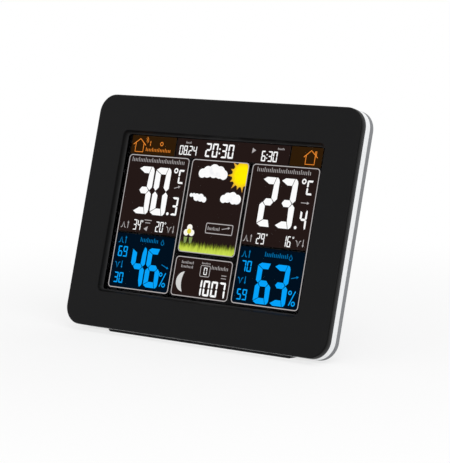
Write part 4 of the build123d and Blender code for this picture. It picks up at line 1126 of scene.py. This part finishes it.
class StationPicture(bpy.types.Operator):
    """Draws the forecast picture: sun, clouds, flower, grass and the moon below"""

    bl_idname = "station.picture"
    bl_label = "Display picture"

    def execute(self, context):
        """Builds the coloured picture in the middle of the display."""
        self.make_sun()
        self.make_clouds()
        self.make_grass(context.scene.station_display.seed)
        self.make_flower()
        self.make_moon()
        return {"FINISHED"}

    @staticmethod
    def make_sun():
        """A disc with long and short rays, cut by the corner of its cell."""
        outline = []
        step = 360 / RAYS
        for k in range(RAYS):
            start = 360 * k / RAYS
            outline += arc(SUN_X, SUN_U, SUN_RADIUS, start, start + GAP_SHARE * step, 2)
            tip = math.radians(start + (1 + GAP_SHARE) / 2 * step)
            reach = RAY_REACHES[k % 2]
            outline.append((SUN_X + reach * math.cos(tip), SUN_U + reach * math.sin(tip)))
        flat = flat_shape(outline)
        for edge, normal in (((PICTURE[1] - PICTURE_INSET, 0, 0), (1, 0, 0)),
                             ((0, CELL_TOP - PICTURE_INSET, 0), (0, 1, 0))):
            bmesh.ops.bisect_plane(flat, geom=[*flat.verts, *flat.edges, *flat.faces],
                                   plane_co=edge, plane_no=normal, clear_outer=True)
        bm = bmesh.new()
        raised(bm, flat)
        material, tree, shader = new_material("sun_yellow")
        distance = measured(tree, "DISTANCE", object_point(tree),
                            DISPLAY @ Vector((SUN_X, SUN_U, 0)))
        wobble = maths(tree, "MULTIPLY_ADD", noise(tree, 700.0, 3.0), 1.6 * MM, distance)
        light_up(tree, shader, colour_ramp(tree, ranged(tree, wobble, 0.0, 11.5 * MM), [
            (0.0, screen(255, 242, 0)), (0.48, screen(255, 236, 0)),
            (0.62, screen(246, 208, 24)), (0.78, screen(226, 170, 60)),
            (1.0, screen(190, 130, 60))]))
        on_display("picture_sun", bm, material)

    @staticmethod
    def puffs(circles, steps=56):
        """The outline round a row of overlapping round puffs."""
        left = min(x - r for x, u, r in circles)
        right = max(x + r for x, u, r in circles)
        upper, lower = [], []
        for k in range(steps + 1):
            at = left + (right - left) * (0.5 - 0.5 * math.cos(math.pi * k / steps))
            reach = [(u, math.sqrt(max(0.0, r * r - (at - x) ** 2))) for x, u, r in circles
                     if abs(at - x) < r + FINE]
            upper.append((at, max(u + half for u, half in reach)))
            lower.append((at, min(u - half for u, half in reach)))
        return lower + upper[-2:0:-1]

    def make_clouds(self):
        """Three clouds, white with faint grey billows."""
        bm = bmesh.new()
        for circles in CLOUDS:
            raised(bm, flat_shape(self.puffs(circles)))
        material, tree, shader = new_material("cloud_white")
        light_up(tree, shader, colour_ramp(tree, noise(tree, 260.0, 3.0), [
            (0.3, screen(238, 239, 242)), (0.52, screen(253, 253, 253))]))
        on_display("picture_clouds", bm, material)

    @staticmethod
    def make_grass(seed):
        """A strip of blades, bright at the foot and lost in the dark at the tips."""
        draw = random.Random(seed)
        left, right = PICTURE[0] + 0.6, PICTURE[1] - 0.6
        foot = PICTURE_FOOT + 0.5
        step = (right - left) / BLADES
        outline = [(left, foot + GRASS_CORNER), (left + GRASS_CORNER, foot),
                   (right - GRASS_CORNER, foot), (right, foot + GRASS_CORNER)]
        for k in range(BLADES):
            x = right - k * step
            outline.append((x, BLADE_FOOT + draw.uniform(-0.6, 0.9)))
            outline.append((x - step * draw.uniform(0.2, 0.8),
                            BLADE_TIP + draw.uniform(-1.6, 1.6)))
        outline.append((left, -15.2))
        bm = bmesh.new()
        raised(bm, flat_shape(outline))
        material, tree, shader = new_material("grass_green")
        stretched = add_node(tree, "ShaderNodeMapping", {
            "Vector": object_point(tree), "Scale": (1.0, 0.22, 0.22)}).outputs[0]
        streaks = noise(tree, 900.0, 3.0, 0.6, stretched)
        height = maths(tree, "SUBTRACT", along(tree, UPWARD),
                       centre_of("display_window").dot(UPWARD))
        ragged = maths(tree, "MULTIPLY_ADD", streaks, 6.5 * MM, height)
        share = ranged(tree, ragged, -16.0 * MM, -7.6 * MM)
        light_up(tree, shader, colour_ramp(tree, share, [
            (0.0, screen(206, 226, 88)), (0.3, screen(190, 210, 70)),
            (0.55, screen(120, 135, 40)), (0.8, screen(50, 42, 24)), (1.0, screen(36, 25, 23))]))
        on_display("picture_grass", bm, material)

    @staticmethod
    def make_flower():
        """Three pale petals round a yellow heart, over two leaves."""
        petals = drawing(spots=[(FLOWER_X, -5.1, 1.95), (FLOWER_X - PETAL_SIDE, -8.0, 1.9),
                                (FLOWER_X + PETAL_SIDE, -8.0, 1.9)])
        on_display("picture_petals", petals, glowing("petal_white", screen(250, 248, 240)))
        heart = bmesh.new()
        raised(heart, flat_disc(FLOWER_X, -7.2, 1.5), TOP_LAYER)
        on_display("picture_heart", heart, glowing("heart_yellow", screen(228, 214, 70)))
        leaves = bmesh.new()
        for x in (FLOWER_X - LEAF_SIDE, FLOWER_X + LEAF_SIDE):
            raised(leaves, flat_shape([(x - 1.3, -10.6), (x + 1.3, -10.6), (x + 0.9, -13.6),
                                       (x - 0.6, -14.4)]), TOP_LAYER)
        on_display("picture_leaves", leaves, glowing("leaf_green", screen(128, 148, 84)))

    @staticmethod
    def make_moon():
        """A thin moon in the pressure cell."""
        outline = []
        for reach, sense in zip(MOON_EDGES, (1, -1)):
            depth = MOON_TIPS - reach
            radius = (MOON_HALF ** 2 + depth ** 2) / (2 * depth)
            spread = math.degrees(math.acos((radius - depth) / radius)) * sense
            outline += arc(reach + radius, MOON_MIDDLE, radius, 180 - spread, 180 + spread, 24)
        bm = bmesh.new()
        raised(bm, flat_shape(outline))
        on_display("picture_moon", bm, glowing("moon_grey", screen(214, 214, 212), 0.3))


# ---------------------------------------------------------------- sidebar, register and run

OPERATORS = (StationStage, StationShell, StationWindow, StationInside, StationKeys,
             StationMarks, StationCells, StationFigures, StationSigns, StationPicture)
SETTINGS = {"station_studio": StudioSettings, "station_housing": HousingSettings,
            "station_display": DisplaySettings, "station_inner": InnerSettings}


class StationPanel(bpy.types.Panel):
    """Lists the station's settings and steps in the sidebar"""

    bl_idname = "VIEW3D_PT_weather_station"
    bl_label = "Weather Station"
    bl_space_type = "VIEW_3D"
    bl_region_type = "UI"
    bl_category = "Weather Station"

    def draw(self, context):
        """Draws the settings, then one button for each step."""
        for name, kind in SETTINGS.items():
            box = self.layout.box()
            settings = getattr(context.scene, name)
            for label in kind.__annotations__:
                box.prop(settings, label)
        for operator in OPERATORS:
            self.layout.operator(operator.bl_idname)


def register():
    """Registers the settings, the operators and the panel."""
    for name, kind in SETTINGS.items():
        bpy.utils.register_class(kind)
        setattr(bpy.types.Scene, name, PointerProperty(type=kind))
    for kind in (*OPERATORS, StationPanel):
        bpy.utils.register_class(kind)


def unregister():
    """Takes them out again."""
    for kind in reversed((*OPERATORS, StationPanel)):
        bpy.utils.unregister_class(kind)
    for name, kind in SETTINGS.items():
        delattr(bpy.types.Scene, name)
        bpy.utils.unregister_class(kind)


def main():
    """Builds everything in order."""
    register()
    for operator in OPERATORS:
        group, name = operator.bl_idname.split(".")
        getattr(getattr(bpy.ops, group), name)()


if __name__ == "__main__":
    main()
